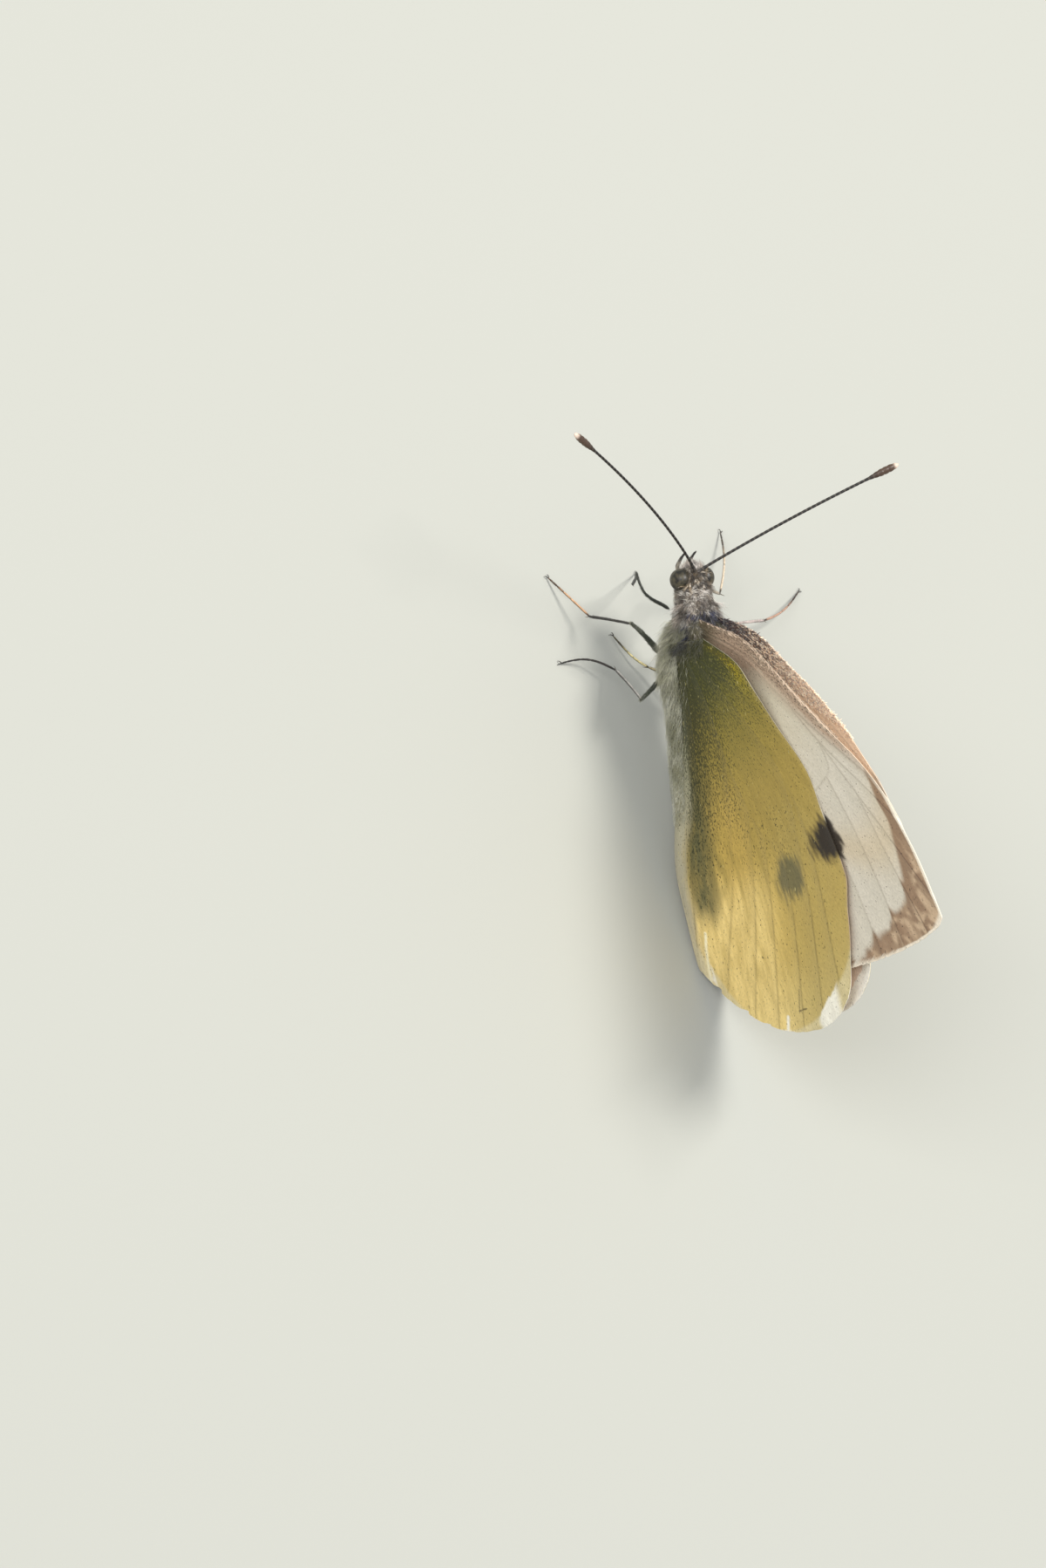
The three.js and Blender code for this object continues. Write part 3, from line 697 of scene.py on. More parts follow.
horn_dials = {"Specular_IOR_Level": 0.45, "Coat_Weight": 0.1}
feeler_paint = coat_paint("feeler_scaly_horn", 0.00008, 0.45, 0.0, 0.00001, 0.2, **horn_dials)
for side, sign in (("left", 1), ("right", -1)):
    root, tip, bow, arch = FEELERS[side]
    root, tip = np.array(root), np.array(tip)
    knee = root + (tip - root) * 0.45 - np.array([bow, sign * bow, 0])
    deep = root + np.array([0.12, -0.04 * sign, -0.3])
    t = np.linspace(0, 1, 560)[:, None]
    path = (1 - t) ** 2 * root + 2 * t * (1 - t) * knee + t**2 * tip
    path[:, 2] += arch * np.sin(np.pi * t[:, 0] ** 0.4)
    path = np.vstack([deep + (root - deep) * np.linspace(0, 0.95, 8)[:, None], path])
    t = np.concatenate([np.zeros(8), t[:, 0]])
    long = run_along(path)
    joint = np.abs(np.sin(np.pi * long / JOINT_LONG))
    swell = ease(CLUB_SHARE - 0.03, CLUB_SHARE + 0.055, t)
    size = SHAFT * (1 + 0.35 * np.exp(-long / 0.5)) + (CLUB - SHAFT) * swell
    size = size * (0.86 + 0.14 * joint**0.6) * np.sqrt(np.clip(1 - np.clip((t - 0.955) / 0.045, 0, 1) ** 2, 0, 1))
    size = size * np.sqrt(np.clip(long / 0.15, 0, 1))
    grid = tube(path, size, RINGS, 0.8)
    feeler = to_piece(f"feeler_{side}_horn", *round_grid(stood(grid)))
    shade = layered(
        tone(13, 12, 11),
        ((120, 110, 100), 0.45 * (1 - joint) ** 3),
        ((186, 178, 168), 0.4 * np.exp(-long / 0.3)),
        ((74, 56, 44), swell),
        ((226, 205, 188), ease(0.972, 0.99, t)),
    )
    under = 0.5 - 0.5 * np.sin(np.linspace(0, 2 * np.pi, RINGS, endpoint=False))
    under = 0.5 * under[None, :] * ((0.35 + 0.65 * swell) * (1 - ease(0.97, 0.99, t)))[:, None]
    shade = mixed(np.repeat(shade[:, None], RINGS, 1), tone(132, 112, 90), under)
    paint(feeler, "colour", vertex_colours(shade))
    feeler.data.materials.append(feeler_paint)
    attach(feeler, "root")
    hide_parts(f"antenna_shaft_{side}", f"antenna_club_{side}")


# --- Legs ------------------------------------------------------------------------------------------------------------
# Six thin walking legs: a green-grey thigh fringed with hair, a slim shin with two spurs, and a foot of five joints,
# pale above and dark beneath, darker on the lower left flank as painted shade, that ends in forked claws on the floor.
# Each is one piece of closed tubes, hip to claw.
HIPS = {"fore": (-2.95, 0.8, -1.4), "mid": (-0.2, 0.8, -3.05), "hind": (1.6, 0.8, -2.95)}
KNEES = {
    "fore": ((-5.4, 2.55, 6.2), (-5.2, -2.5, 4.0)),
    "mid": ((-2.3, 3.5, 5.7), (-1.7, -4.5, 5.3)),
    "hind": ((2.6, 3.7, 4.95), (2.7, -3.4, 3.7)),
}
ANKLES = {
    "fore": ((-5.7, 0.7, 2.7), (-4.5, -5.9, 2.5)),
    "mid": ((-4.1, 3.9, 1.7), (-2.55, -9.15, 1.9)),
    "hind": ((-0.37, 2.85, 1.6), (-0.5, -0.2, 0.85)),
}
TOES = {
    "fore": ((-7.0, -1.4), (-9.2, -8.7)),
    "mid": ((-7.36, 5.3), (-4.7, -13.6)),
    "hind": ((-1.57, 5.9), (-3.04, 1.45)),
}
THIGH_BOWS = {
    "fore": ((0.4, 0.35, 0), (0, 0, 0)),
    "mid": ((0, 0, 0.1), (0, 0, 0.1)),
    "hind": ((0, 0, 0.1), (0, 0, 0.1)),
}
FOOT_BOWS = {
    "fore": ((0, 0, 0.2), (0, -0.27, 0.1)),
    "mid": ((0, 0, 0.02), (0.35, 0, 0.1)),
    "hind": ((-0.42, 0, 0.2), (0.3, 0, 0)),
}
THIGHS, SHIN, FOOT_THICK = {"fore": 0.085, "mid": 0.19, "hind": 0.17}, 0.092, 0.072
FOOT_JOINTS, HAIR_STRIPS, SOLE_HIGH = (0.46, 0.64, 0.78, 0.89), 18, 0.00012
CLAW_LONG, CLAW_APART, CLAW_THICK = 0.00022, 0.00015, 0.000036
SPUR_LONG, SPUR_APART, SPUR_THICK = 0.00035, 0.00014, 0.000032
LEG_HAIRS = (  # count, length, width, share of pale hairs and rise, for thigh, shin and foot
    (900, (0.16, 0.4), 0.012, 0.65, (0.15, 0.5)),
    (420, (0.08, 0.18), 0.009, 0.25, (0.2, 0.6)),
    (420, (0.05, 0.1), 0.007, 0.2, (0.2, 0.6)),
)
# Each leg's shin and foot tones, left then right, carry that leg's light and shade besides its own colour.
SHIN_TONES = {
    "fore": ((58, 52, 44), (188, 176, 158)),
    "mid": ((74, 72, 64), (212, 194, 188)),
    "hind": ((216, 212, 204), (206, 190, 140)),
}
FOOT_TONES = {
    "fore": ((66, 56, 46), (222, 204, 178)),
    "mid": ((212, 168, 128), (186, 148, 126)),
    "hind": ((48, 43, 38), (230, 216, 158)),
}


def grounded(point):
    """Metres in the part's frame of a point given in millimetres over the floor, measured before centring."""
    point = np.asarray(point, float)
    return np.stack([point[..., 0] - MIDDLE_X, -point[..., 1] - MIDDLE_Y, point[..., 2]], -1) * 0.001


def limb(start, end, bow, radius, count=60, late=1.0):
    """A path from one joint to the next, bowed by so many millimetres back, left and up as the sine of the share to
    the power late, and its radius in metres, rounded off at both ends."""
    t = (1 - np.cos(np.linspace(0, np.pi, count))) / 2
    bow = np.array([bow[0], -bow[1], bow[2]]) * 0.001
    path = start + (end - start) * t[:, None] + bow * np.sin(np.pi * t**late)[:, None]
    return path, t, radius(t) * 0.001 * rounded(t, 10)


def stacked(meshes):
    """Points, quads and triangles of several meshes put together as one."""
    base = np.cumsum([0] + [len(points) for points, _, _ in meshes])
    moved = [(points, quads + start, tris + start) for (points, quads, tris), start in zip(meshes, base)]
    return [np.vstack(rows) for rows in zip(*moved)]


def dark_below_and_shaded(grid, path, shade, dark, much):
    """Colours of a tube darkened on its lower left flank, the side away from the light: the leg's own dark underside
    and painted shade together; the share of dark follows the way each point faces.
    """
    low = ease(0.25, -0.35, unit(grid - path[:, None]) @ np.array([0.0, 0.62, 0.78]))
    return mixed(np.broadcast_to(shade[:, None], grid.shape), dark, much * low)


leg_paint = coat_paint("leg_scaly_horn", 0.00012, 0.5, 0.15, 0.00002, 0.25)
rng = np.random.default_rng(91)
fringe = []
for pair in ("fore", "mid", "hind"):
    for index, side in enumerate(("left", "right")):
        hip = stand(HIPS[pair][0], HIPS[pair][1] * (1 - 2 * index), HIPS[pair][2])
        knee, ankle = grounded(KNEES[pair][index]), grounded(ANKLES[pair][index])
        toe = grounded((*TOES[pair][index], 0.15))
        hip = hip + (hip - knee) * 0.12
        thick = THIGHS[pair]
        thigh, t1, r1 = limb(hip, knee, THIGH_BOWS[pair][index], lambda t: thick * (1.15 - 0.62 * t), late=1.45)
        shin, t2, r2 = limb(knee, ankle, (0, 0, 0.08), lambda t: SHIN * (0.85 + 0.25 * t))
        foot, t3, r3 = limb(ankle, toe, FOOT_BOWS[pair][index], lambda t: FOOT_THICK * (1.12 - 0.3 * t), 150)
        foot[:, 2] = np.maximum(foot[:, 2], SOLE_HIGH)
        joints = sum(bell(t3 - at, 0, 0.012) for at in FOOT_JOINTS)
        r3 = r3 * (1 - 0.3 * joints)
        night = tone(34, 30, 27)
        grids = tube(thigh, r1, 18), tube(shin, r2, 14), tube(foot, r3, 14)
        green = mixed(tone(52, 60, 44), tone(92, 98, 78), 0.3 + 0.3 * np.sin(9 * t1)) * (0.55 if pair == "fore" else 1)
        shank = tone(*SHIN_TONES[pair][index]) * (0.85 + 0.15 * np.sin(14 * t2 + 1))[:, None]
        sole = np.clip(ease(0.5, 0.85, t3) + 0.6 * joints + ease(0.1, 0.04, t3), 0, 1)
        sole = mixed(tone(*FOOT_TONES[pair][index]), night, sole * 0.95)
        parts = [
            (grids[0], dark_below_and_shaded(grids[0], thigh, green, night, 0.5)),
            (grids[1], dark_below_and_shaded(grids[1], shin, shank, night, 0.92)),
            (grids[2], dark_below_and_shaded(grids[2], foot, sole, night, 0.7)),
        ]
        along = (toe - ankle) * np.array([1, 1, 0])
        along /= np.linalg.norm(along)
        sideways = np.array([-along[1], along[0], 0])
        for way in (-1, 1):
            end = toe + along * CLAW_LONG + sideways * way * CLAW_APART
            crook = toe + along * 0.0002 + sideways * way * 0.0001 + np.array([0, 0, 0.0001])
            claw, tc = along_curve(toe - along * 0.00005, crook, end, 20)
            claw[:, 2] = np.maximum(claw[:, 2] * (1 - tc**3), 0.00002)
            size = CLAW_THICK * rounded(tc, 10) * (1 - 0.65 * tc)
            horn = tube(claw, size, 8)
            parts.append((horn, np.broadcast_to(night, horn.shape)))
            spur = ankle + (ankle - knee) / np.linalg.norm(ankle - knee) * SPUR_LONG + sideways * way * SPUR_APART
            thorn, ts = along_curve(ankle, (ankle + spur) / 2 + sideways * way * 0.00007, spur, 16)
            size = SPUR_THICK * (1 - 0.7 * ts) * rounded(ts, 10)
            horn = tube(thorn, size, 8)
            parts.append((horn, np.broadcast_to(tone(96, 84, 68), horn.shape)))
        leg = to_piece(f"leg_{pair}_{side}", *stacked([round_grid(grid) for grid, _ in parts]))
        paint(leg, "colour", np.vstack([vertex_colours(shade) for _, shade in parts]))
        leg.data.materials.append(leg_paint)
        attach(leg, "root")
        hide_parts(f"{pair}_femur_{side}", f"{pair}_tibia_{side}", f"{pair}_tarsus_{side}")
        lengths = (thigh, r1), (shin, r2), (foot, r3)
        for row, ((path, size), (count, long, wide, pale, rise)) in enumerate(zip(lengths, LEG_HAIRS)):
            share, turn, here, normal, ahead = on_tube(path, size, count, rng, 0.03, 0.96)
            if row == 0:
                light = np.where(normal[:, 2] < 0.1, 0.7, 0.1) * rng.uniform(0.6, 1, count)
                shade = mixed(tone(60, 66, 52), tone(188, 188, 164), light) * (0.5 if pair == "fore" else 1)
            else:
                own = tone(*(SHIN_TONES if row == 1 else FOOT_TONES)[pair][index])
                shade = mixed(night, own, np.where(rng.random(count) < pale, 0.9, 0.25))
            reach = rng.uniform(*long, count) * 0.001
            width = np.full(count, wide * 0.001)
            grown = tufts(here, normal, ahead, reach, width, rng.uniform(*rise, count), 0.2 + 0 * reach)
            strip = len(fringe) / HAIR_STRIPS
            spot = np.stack([0.01 + 0.98 * share, 0.004 + strip + turn / (2 * np.pi) / HAIR_STRIPS * 0.85], -1)
            fringe.append((grown, shade, spot))

leg_hair = to_piece("leg_hair", *stacked([grown for grown, _, _ in fringe]))
shade = np.vstack([shade for _, shade, _ in fringe])
# Painted shade at the roots of the leg hairs and painted light at their tips: 0.7, 1 and 1.1 of their colour.
hair_root_shade_tip_light = np.repeat((0.7, 1, 1.1), (3, 3, 1))
paint(leg_hair, "colour", (shade[:, None] * hair_root_shade_tip_light[None, :, None]).reshape(-1, 3))
spot = np.vstack([spot for _, _, spot in fringe])
lay_uv(leg_hair, "OFBake", (spot[:, None] + BAKE_PATCH[None]).reshape(-1, 2))
leg_hair.data.materials.append(hair_paint)
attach(leg_hair, "root")

# --- Forewings -------------------------------------------------------------------------------------------------------
# The two front wings: membranes held between raised veins and covered with cream scales, brown at the tip. They are
# hinged on top of the thorax and stand back to back, so their undersides show outside.
FOREWING_LONG, FOREWING_ARCH, FOREWING_CUT = 30.9, 2.75, 29.2
FOREWING_ROOT, FOREWING_LEAN = (-1.3, 2.5), np.radians(46.8)
FOREWING_OFF, SHEET_HALF = 0.31, 0.03
ROOT_SINK, ROOT_DRAW, ROOT_REACH = 0.95, 1.05, 5.0
WING_ROWS, WING_COLS, RIB, PLEAT = 310, 158, 0.035, 0.035
FOREWING_SPOTS = ((18.2, -3.6, 1.85, 1.6, 21), (15.7, -8.4, 1.5, 1.3, 22))  # middle, half sizes and seed
EDGE_SCALES = (("bark", 2400, 1.7, 0.25), ("fringe", 600, 0.05, 0.4))  # name, count, depth behind the rim and lean


def spread(back, up):
    """How far a wing stands off the middle near its hinge: it falls as exp(-(r/8)^1.3) with the distance r from it."""
    return 1.5 * np.exp(-((np.hypot(back + 0.5, up - 2.2) / 8.0) ** 1.3))


def forewing_front(u):
    """The front edge's v at u, with q the share of the length: 0.6 (1 - q) and an arch, sin(pi q^1.15)^0.75, fuller
    by 0.35 round u = 21 and 0.2 round u = 3."""
    q = np.clip(u / FOREWING_LONG, 0, 1)
    fuller = 0.35 * bell(u, 21.0, 4.2) + 0.2 * bell(u, 3.2, 2.2)
    return 0.6 * (1 - q) + FOREWING_ARCH * np.sin(np.pi * q**1.15) ** 0.75 + fuller


def forewing_place(along, across):
    """Wing measures (u along, v forward) for shares along and across. The rear edge is the smaller of the straight
    inner margin and the outer margin, which falls as (1 - q)^0.75 and is ragged with wear."""
    u = FOREWING_LONG * 0.995 * (1 - (1 - along) ** 1.6)
    q = u / FOREWING_LONG
    front = forewing_front(u)
    inner = 0.9 + 0.74 * u
    outer = FOREWING_CUT * (1 - q) ** 0.75
    chips = ease(20.5, 22.0, u) * (0.16 * np.abs(waver(u * 6.0, 3)) + 0.18 * ease(0.62, 0.9, waver(u * 2.3, 8)))
    rear = -((inner**-8.0 + outer**-8.0) ** (-1 / 8.0)) + chips
    return u, rear + (front - rear) * across**0.62


def closed_sheet(outer, inner):
    """Quads that close two matching grids into one thin sheet: one over each grid and a strip round all four edges."""
    rows, cols = outer.shape[:2]
    grid = np.arange(rows * cols).reshape(rows, cols)
    quad = np.stack([grid[:-1, :-1], grid[1:, :-1], grid[1:, 1:], grid[:-1, 1:]], -1).reshape(-1, 4)
    edge = np.concatenate([grid[0, :], grid[1:, -1], grid[-1, -2::-1], grid[-2:0:-1, 0]])
    after = np.roll(edge, -1)
    strip = np.stack([edge, after, after + rows * cols, edge + rows * cols], -1)
    points = np.concatenate([outer.reshape(-1, 3), inner.reshape(-1, 3)])
    return points, np.concatenate([quad, quad[:, ::-1] + rows * cols, strip])


def bent(points, count=14):
    """A vein drawn as a smooth line through its named points: Catmull-Rom between each pair."""
    p = np.array(points, float)
    p = np.vstack([2 * p[0] - p[1], p, 2 * p[-1] - p[-2]])
    t = np.linspace(0, 1, count)[:, None]
    parts = [
        0.5 * (2 * b + (c - a) * t + (2 * a - 5 * b + 4 * c - d) * t**2 + (3 * b - a - 3 * c + d) * t**3)
        for a, b, c, d in zip(p, p[1:], p[2:], p[3:])
    ]
    return np.vstack(parts)


def nearness(u, v, veins):
    """Distance from every point to the nearest vein."""
    flat = np.stack([u.ravel(), v.ravel()], -1)
    best = np.full(len(flat), 99.0)
    for line in map(bent, veins):
        for start, step in zip(line, np.diff(line, axis=0)):
            t = np.clip(((flat - start) @ step) / max(step @ step, 1e-9), 0, 1)
            best = np.minimum(best, np.linalg.norm(flat - start - t[:, None] * step, axis=1))
    return best.reshape(u.shape)


FOREWING_VEINS = [
    [(0.2, 0.3), (6, 1.5), (12, 2.7), (17, 3.5)],
    [(0.2, 0.1), (5, 0.9), (10, 1.7), (15.5, 2.5), (21.5, 3.35)],
    [(11, 1.75), (16, 1.9), (21, 2.3), (26.6, 2.75)],
    [(14.5, 1.8), (19, 1.3), (25, 0.9), (30.6, 0.7)],
    [(19, 1.35), (24, -0.2), (30.2, -1.6)],
    [(16.2, 0.3), (22, -1.6), (28.9, -4.2)],
    [(15.5, -2.0), (20, -3.4), (27.4, -6.4)],
    [(13.3, -3.0), (18, -5.0), (25.2, -9.2)],
    [(9.3, -2.8), (14, -5.4), (22.6, -11.8)],
    [(0.3, -0.3), (7, -4.3), (13, -8.9), (19.2, -13.6)],
    [(0.3, 0.0), (4, -1.3), (9.3, -2.8), (13.3, -3.0), (15.5, -2.0)],
    [(14.5, 1.8), (16.0, 1.1), (16.2, 0.3), (15.9, -0.8), (15.5, -2.0)],
]


def lattice(x, y, seed):
    """Smooth random pattern from 0 to 1: random numbers at whole places of x and y, joined by easing between them."""
    table = np.random.default_rng(seed).random((256, 256))
    i, j = np.floor(x).astype(int), np.floor(y).astype(int)
    p, q = ease(0, 1, x - i), ease(0, 1, y - j)
    low = table[i % 256, j % 256] * (1 - p) + table[(i + 1) % 256, j % 256] * p
    high = table[i % 256, (j + 1) % 256] * (1 - p) + table[(i + 1) % 256, (j + 1) % 256] * p
    return low * (1 - q) + high * q


def brushed(ray, reach, seed):
    """Fine streaks that run out from the root, between -1 and 1: two random patterns drawn out along the reach."""
    fine, broad = lattice(ray * 150 + 60, reach * 1.1, seed), lattice(ray * 55 + 90, reach * 0.6, seed + 1)
    return (fine * 0.6 + broad * 0.4 - 0.5) * 2.4


def forewing_marks(u, v, face):
    """Colour, dark dust, pale sparks and vein gap of a forewing at (u, v). The underside is cream, rosy and dusted at
    the root, with a brown tip beyond u = 26.9 - 0.72 (v + 1.5)^1.45 and two dark spots; the upper side is bark brown
    along the front edge and has a charcoal tip."""
    q = np.clip(u / FOREWING_LONG, 0, 1)
    front = forewing_front(u)
    gap = nearness(u, v, FOREWING_VEINS)
    ray, reach = np.arctan2(v + 1.2, u + 6.0), np.hypot(v + 1.2, u + 6.0)
    streak = brushed(ray, reach, 11)
    edge_warm = np.exp(-(((u - 23.2 + 0.25 * (v - 1) ** 2) / 2.4) ** 2)) * (v < 4)
    costa = ease(2.6, 0.9, front - v + 0.07 * u)
    rosy = (1 - ease(3.0, 7.5, u + 0.5 * v)) + 0.95 * costa * (1 - ease(12, 20, u))
    rosy = np.clip(rosy + 0.5 * costa * ease(0.8, 0.3, front - v), 0, 1)
    colour = layered(
        mixed(tone(216, 205, 181), tone(218, 210, 194), ease(7, 19, u + 1.5 * streak)),
        ((212, 190, 152), 0.55 * edge_warm),
        ((178, 150, 126), np.clip(rosy * (0.88 + 0.25 * streak), 0, 0.92)),
        ((104, 98, 72), 0.85 * (1 - ease(0.8, 2.8, np.hypot(u, v - 0.2)))),
    )
    wave = lattice(ray * 22 + 40, reach * 0.35, 14) + 0.5 * lattice(ray * 75 + 9, reach * 0.5, 15) - 0.75
    rim = 26.9 - 0.72 * np.maximum(v + 1.5, 0) ** 1.45 + 0.33 * np.minimum(v + 1.5, 0)
    inside = u - rim + wave * (0.45 + 0.6 * ease(1.0, -4, v)) + 0.6 * bell(gap, 0, 0.2) * ease(0.5, -2, v)
    inside = inside + 1.2 * ease(1.6, 2.6, v)
    tip = ease(-0.4, 0.4, inside) * (u > 19.0)
    marble = lattice(u * 1.2 + 2.5 * lattice(v * 0.8 + 50, u * 0.5, 16), v * 3.4 + 70, 17)
    marble = marble + 0.22 * streak - 0.2 * (1 - ease(0.2, 1.6, inside))
    marble = marble + 0.28 * ease(25.8, 29, u + 0.25 * np.abs(v)) - 0.17
    tip_colour = mixed(tone(152, 122, 95), tone(212, 183, 150), 0.85 * ease(0.25, 1.0, marble))
    colour = mixed(colour, tip_colour if face == "under" else tone(96, 80, 70) + 0 * tip_colour, tip * 0.96)
    spots = []
    for cu, cv, ru, rv, seed in FOREWING_SPOTS:
        far = np.hypot((u - cu) / ru, (v - cv) / rv) + 0.3 * streak + 0.12 * waver(np.arctan2(v - cv, u - cu) * 2, seed)
        spots.append(1 - ease(0.78, 1.1, far))
    spot = np.clip(sum(spots), 0, 1)
    colour = mixed(colour, tone(46, 36, 28) if face == "under" else tone(50, 46, 44), 0.95 * spot)
    if face == "upper":
        sooty = np.clip(ease(2.8, 1.4, front - v) * (1 - ease(18, 23, u)) + 1 - ease(3, 6, u), 0, 1)
        # The bark's pale end is painted lighter than the scales' own colour: painted light for the right wing's strip,
        # which lies in shade between the wings.
        bark = mixed(tone(120, 92, 75), tone(255, 230, 202), ease(1.5, 11, u + 0.8 * streak))
        colour = mixed(colour, bark, 0.97 * sooty)
        colour = mixed(colour, tone(58, 60, 82), 0.85 * bell(u, 0, 1.7))
        spark = sooty * (0.9 - 0.5 * bell(u, 0, 1.6))
        dust = 0.02 + (0.5 - 0.38 * ease(1.5, 8, u)) * sooty
    else:
        spark = 0.6 * costa * ease(0.3, 0.05, front - v) * (1 - ease(20, 25, u)) + 0.3 * rosy
        dust = 0.1 * rosy * (1 - ease(8, 16, u)) + 0.16 * (1 - ease(4, 14, u)) + 0.1 * tip
        dust = dust + 0.35 * costa * ease(1.0, 0.3, front - v) * (1 - ease(16, 20, u))
    vein = bell(gap, 0, 0.055)
    vein_tone = mixed(tone(132, 120, 102), tone(104, 80, 62), tip)
    colour = mixed(colour, vein_tone, (0.4 + 0.3 * tip) * vein * ease(7, 13, u))
    colour = colour * (1 + 0.05 * streak[..., None])
    # A painted rim of light along the front edge towards the tip. The fringe adds the pale fringe of the outer margin
    # and a painted rim of light round the very tip.
    front_rim_light = ease(0.26, 0.12, front - v) * ease(18, 23, u)
    rear_edge = FOREWING_CUT * (1 - q) ** 0.75 + v
    fringe = np.clip(ease(0.975, 0.99, q) + front_rim_light + ease(0.45, 0.25, rear_edge + 0.1 * streak) * ease(20, 22, u), 0, 1)
    colour = mixed(colour, tone(252, 240, 220), 0.92 * fringe)
    return colour, np.clip(dust * (1 - fringe), 0, 1), np.clip(spark, 0, 1), gap


def wing_scales(name, dust_tone, spark_tone, shine):
    """Material of a scaled wing: its painted colour; dark dust and pale sparks where a noise, helped by streaks along
    the rays, passes a level set by the painted amount; rows of scales as small cells, and a fine grain, in the bump."""
    paint = Finish(name, Specular_IOR_Level=0.32, Sheen_Weight=shine, Sheen_Roughness=0.45)

    def sampled(uv_name, scale, kind="TexNoise", result="Fac", **dials):
        """A texture's output, looked up in the named UV map stretched by the scale."""
        place = paint.node("UVMap", "UV", uv_map=uv_name)
        place = paint.node("Mapping", "Vector", {"Vector": place, "Scale": (*scale, 1)})
        return paint.node(kind, result, {"Vector": place, "Scale": 1.0, **dials})

    streaks = sampled("scales", (1.6, 7.0), Detail=2.0)
    grain = sampled("scales", (4.0, 14.0), Detail=4.0)
    fleck = paint.ranged(grain, 0.3, 0.7, 0.88, 1.1)
    colour = paint.blended("MULTIPLY", 1.0, paint.painted("colour", "Color"), fleck)
    dots = paint.summed(sampled("scales", (4.2, 12.0), Detail=1.0), 0.7, paint.painted("dust"))
    dots = paint.summed(sampled("metric", (7.5, 9.5), Detail=1.0), 0.5, dots)
    dark = paint.ranged(paint.summed(streaks, 0.35, dots), 0.94, 1.01, 0.0, 0.8)
    colour = paint.blended("MIX", dark, colour, (*dust_tone, 1.0))
    dashes = sampled("metric", (2.4, 9.0), Detail=1.0)
    light = paint.ranged(paint.summed(paint.painted("spark"), 1.0, dashes), 0.80, 0.88, 0.0, 0.9)
    colour = paint.blended("MIX", light, colour, (*spark_tone, 1.0))
    paint.feed(paint.surface, {"Roughness": paint.ranged(grain, 0.2, 0.8, 0.62, 0.82)})
    cells = sampled("metric", (11.0, 14.0), "TexVoronoi", "Distance")
    return paint.done(colour, paint.summed(cells, 0.6, grain), 0.4, 0.00003)


def lifted(lift, a, b):
    """Back, left and up of wing measures in one array, by that wing's own place."""
    left, back, up = np.broadcast_arrays(*lift(a, b))
    return np.stack([back, left, up], -1)


def dress_wing(side, kind, place, lift, marks, material):
    """One wing: its outer and inner faces stand off the middle surface along its normal by half the membrane, more
    along the veins, and the two grids are closed round the edge. The left wing is worked out, the right is mirrored."""
    along, across = np.meshgrid(np.linspace(0, 1, WING_ROWS), np.linspace(0, 1, WING_COLS), indexing="ij")
    a, b = place(along, across)
    middle = lifted(lift, a, b)
    normal = unit(np.cross(np.gradient(middle, axis=0), np.gradient(middle, axis=1)))
    normal *= np.sign(np.median(normal[..., 1]))
    faces, colours, dusts, sparks = [], [], [], []
    for face in ("under", "upper"):
        colour, dust, spark, gap = marks(a, b, face)
        rib = RIB * bell(gap, 0, 0.1) * (1 - 0.6 * ease(0.75, 1.0, along))
        pleat = PLEAT * np.cos(np.minimum(gap, 0.9) / 0.9 * np.pi)
        off = SHEET_HALF + rib if face == "under" else -SHEET_HALF - 0.5 * rib
        faces.append(middle + normal * (off + pleat)[..., None])
        colours.append(colour.reshape(-1, 3))
        dusts.append(0.3 * dust.ravel())
        sparks.append(0.36 * spark.ravel())
    mirror = np.array([1, 1.0 if side == "left" else -1.0, 1])
    grids = [stood(face * mirror) for face in faces]
    piece = to_piece(f"{kind}_{side}_scales", *closed_sheet(*grids), sharp=55)
    paint(piece, "colour", np.vstack(colours))
    paint(piece, "dust", np.concatenate(dusts))
    paint(piece, "spark", np.concatenate(sparks))
    for name, across, up in (("scales", np.hypot(a, b), np.arctan2(b, a + 3.0) * 16.0), ("metric", a, b)):
        flat = np.stack([across, up], -1).reshape(-1, 2)
        lay_uv(piece, name, np.vstack([flat, flat + 50.0]))
    piece.data.materials.append(material)
    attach(piece, "root")
    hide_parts(f"{kind}_{side}")


def forewing_lift(u, v):
    """A forewing's place: (u, v) turned by its lean about the hinge, a little off the middle plane, less at the tip,
    and its root dropped and drawn in to sit on the thorax."""
    back = FOREWING_ROOT[0] + u * np.cos(FOREWING_LEAN) - v * np.sin(FOREWING_LEAN)
    up = FOREWING_ROOT[1] + u * np.sin(FOREWING_LEAN) + v * np.cos(FOREWING_LEAN)
    near = 1 - ease(0, ROOT_REACH, u)
    drawn = ROOT_DRAW * (1 - ease(2.5, 11.5, u)) - 0.18 * bell(u, 14, 3.5)
    left = FOREWING_OFF - 0.17 * ease(14, 25, u) + spread(back, up) - drawn
    return left, back, up - ROOT_SINK * near


def lagging_lift(u, v):
    """The right forewing's place: as the left's, but less drawn in, and turned back by up to 0.35 towards the tip."""
    left, back, up = forewing_lift(u - 0.45 * ease(15, 28, u), v - 0.35 * ease(13, 22, u))
    return left + 0.95 * ease(13.5, 2, u) * ease(-1.5, 2.5, u), back, up


forewing_paint = wing_scales("forewing_cream_scales", tone(74, 58, 46), tone(238, 212, 186), 0.12)
for side, lift in (("left", forewing_lift), ("right", lagging_lift)):
    dress_wing(side, "forewing", forewing_place, lift, forewing_marks, forewing_paint)


def on_forewing(u, v, sign, lift, inwards):
    """Roots on the inner face of a forewing, that far in from its middle, with the inward normal and the way out."""
    here, out, ahead = lifted(lift, u, v), lifted(lift, u + 0.02, v), lifted(lift, u, v + 0.02)
    normal = np.cross(out - here, ahead - here)
    normal = unit(-np.sign(normal[:, 1:2]) * normal)
    ways = here + normal * inwards[:, None], normal, unit(out - here), unit(ahead - here)
    return [way * np.array([1, sign, 1]) for way in ways]


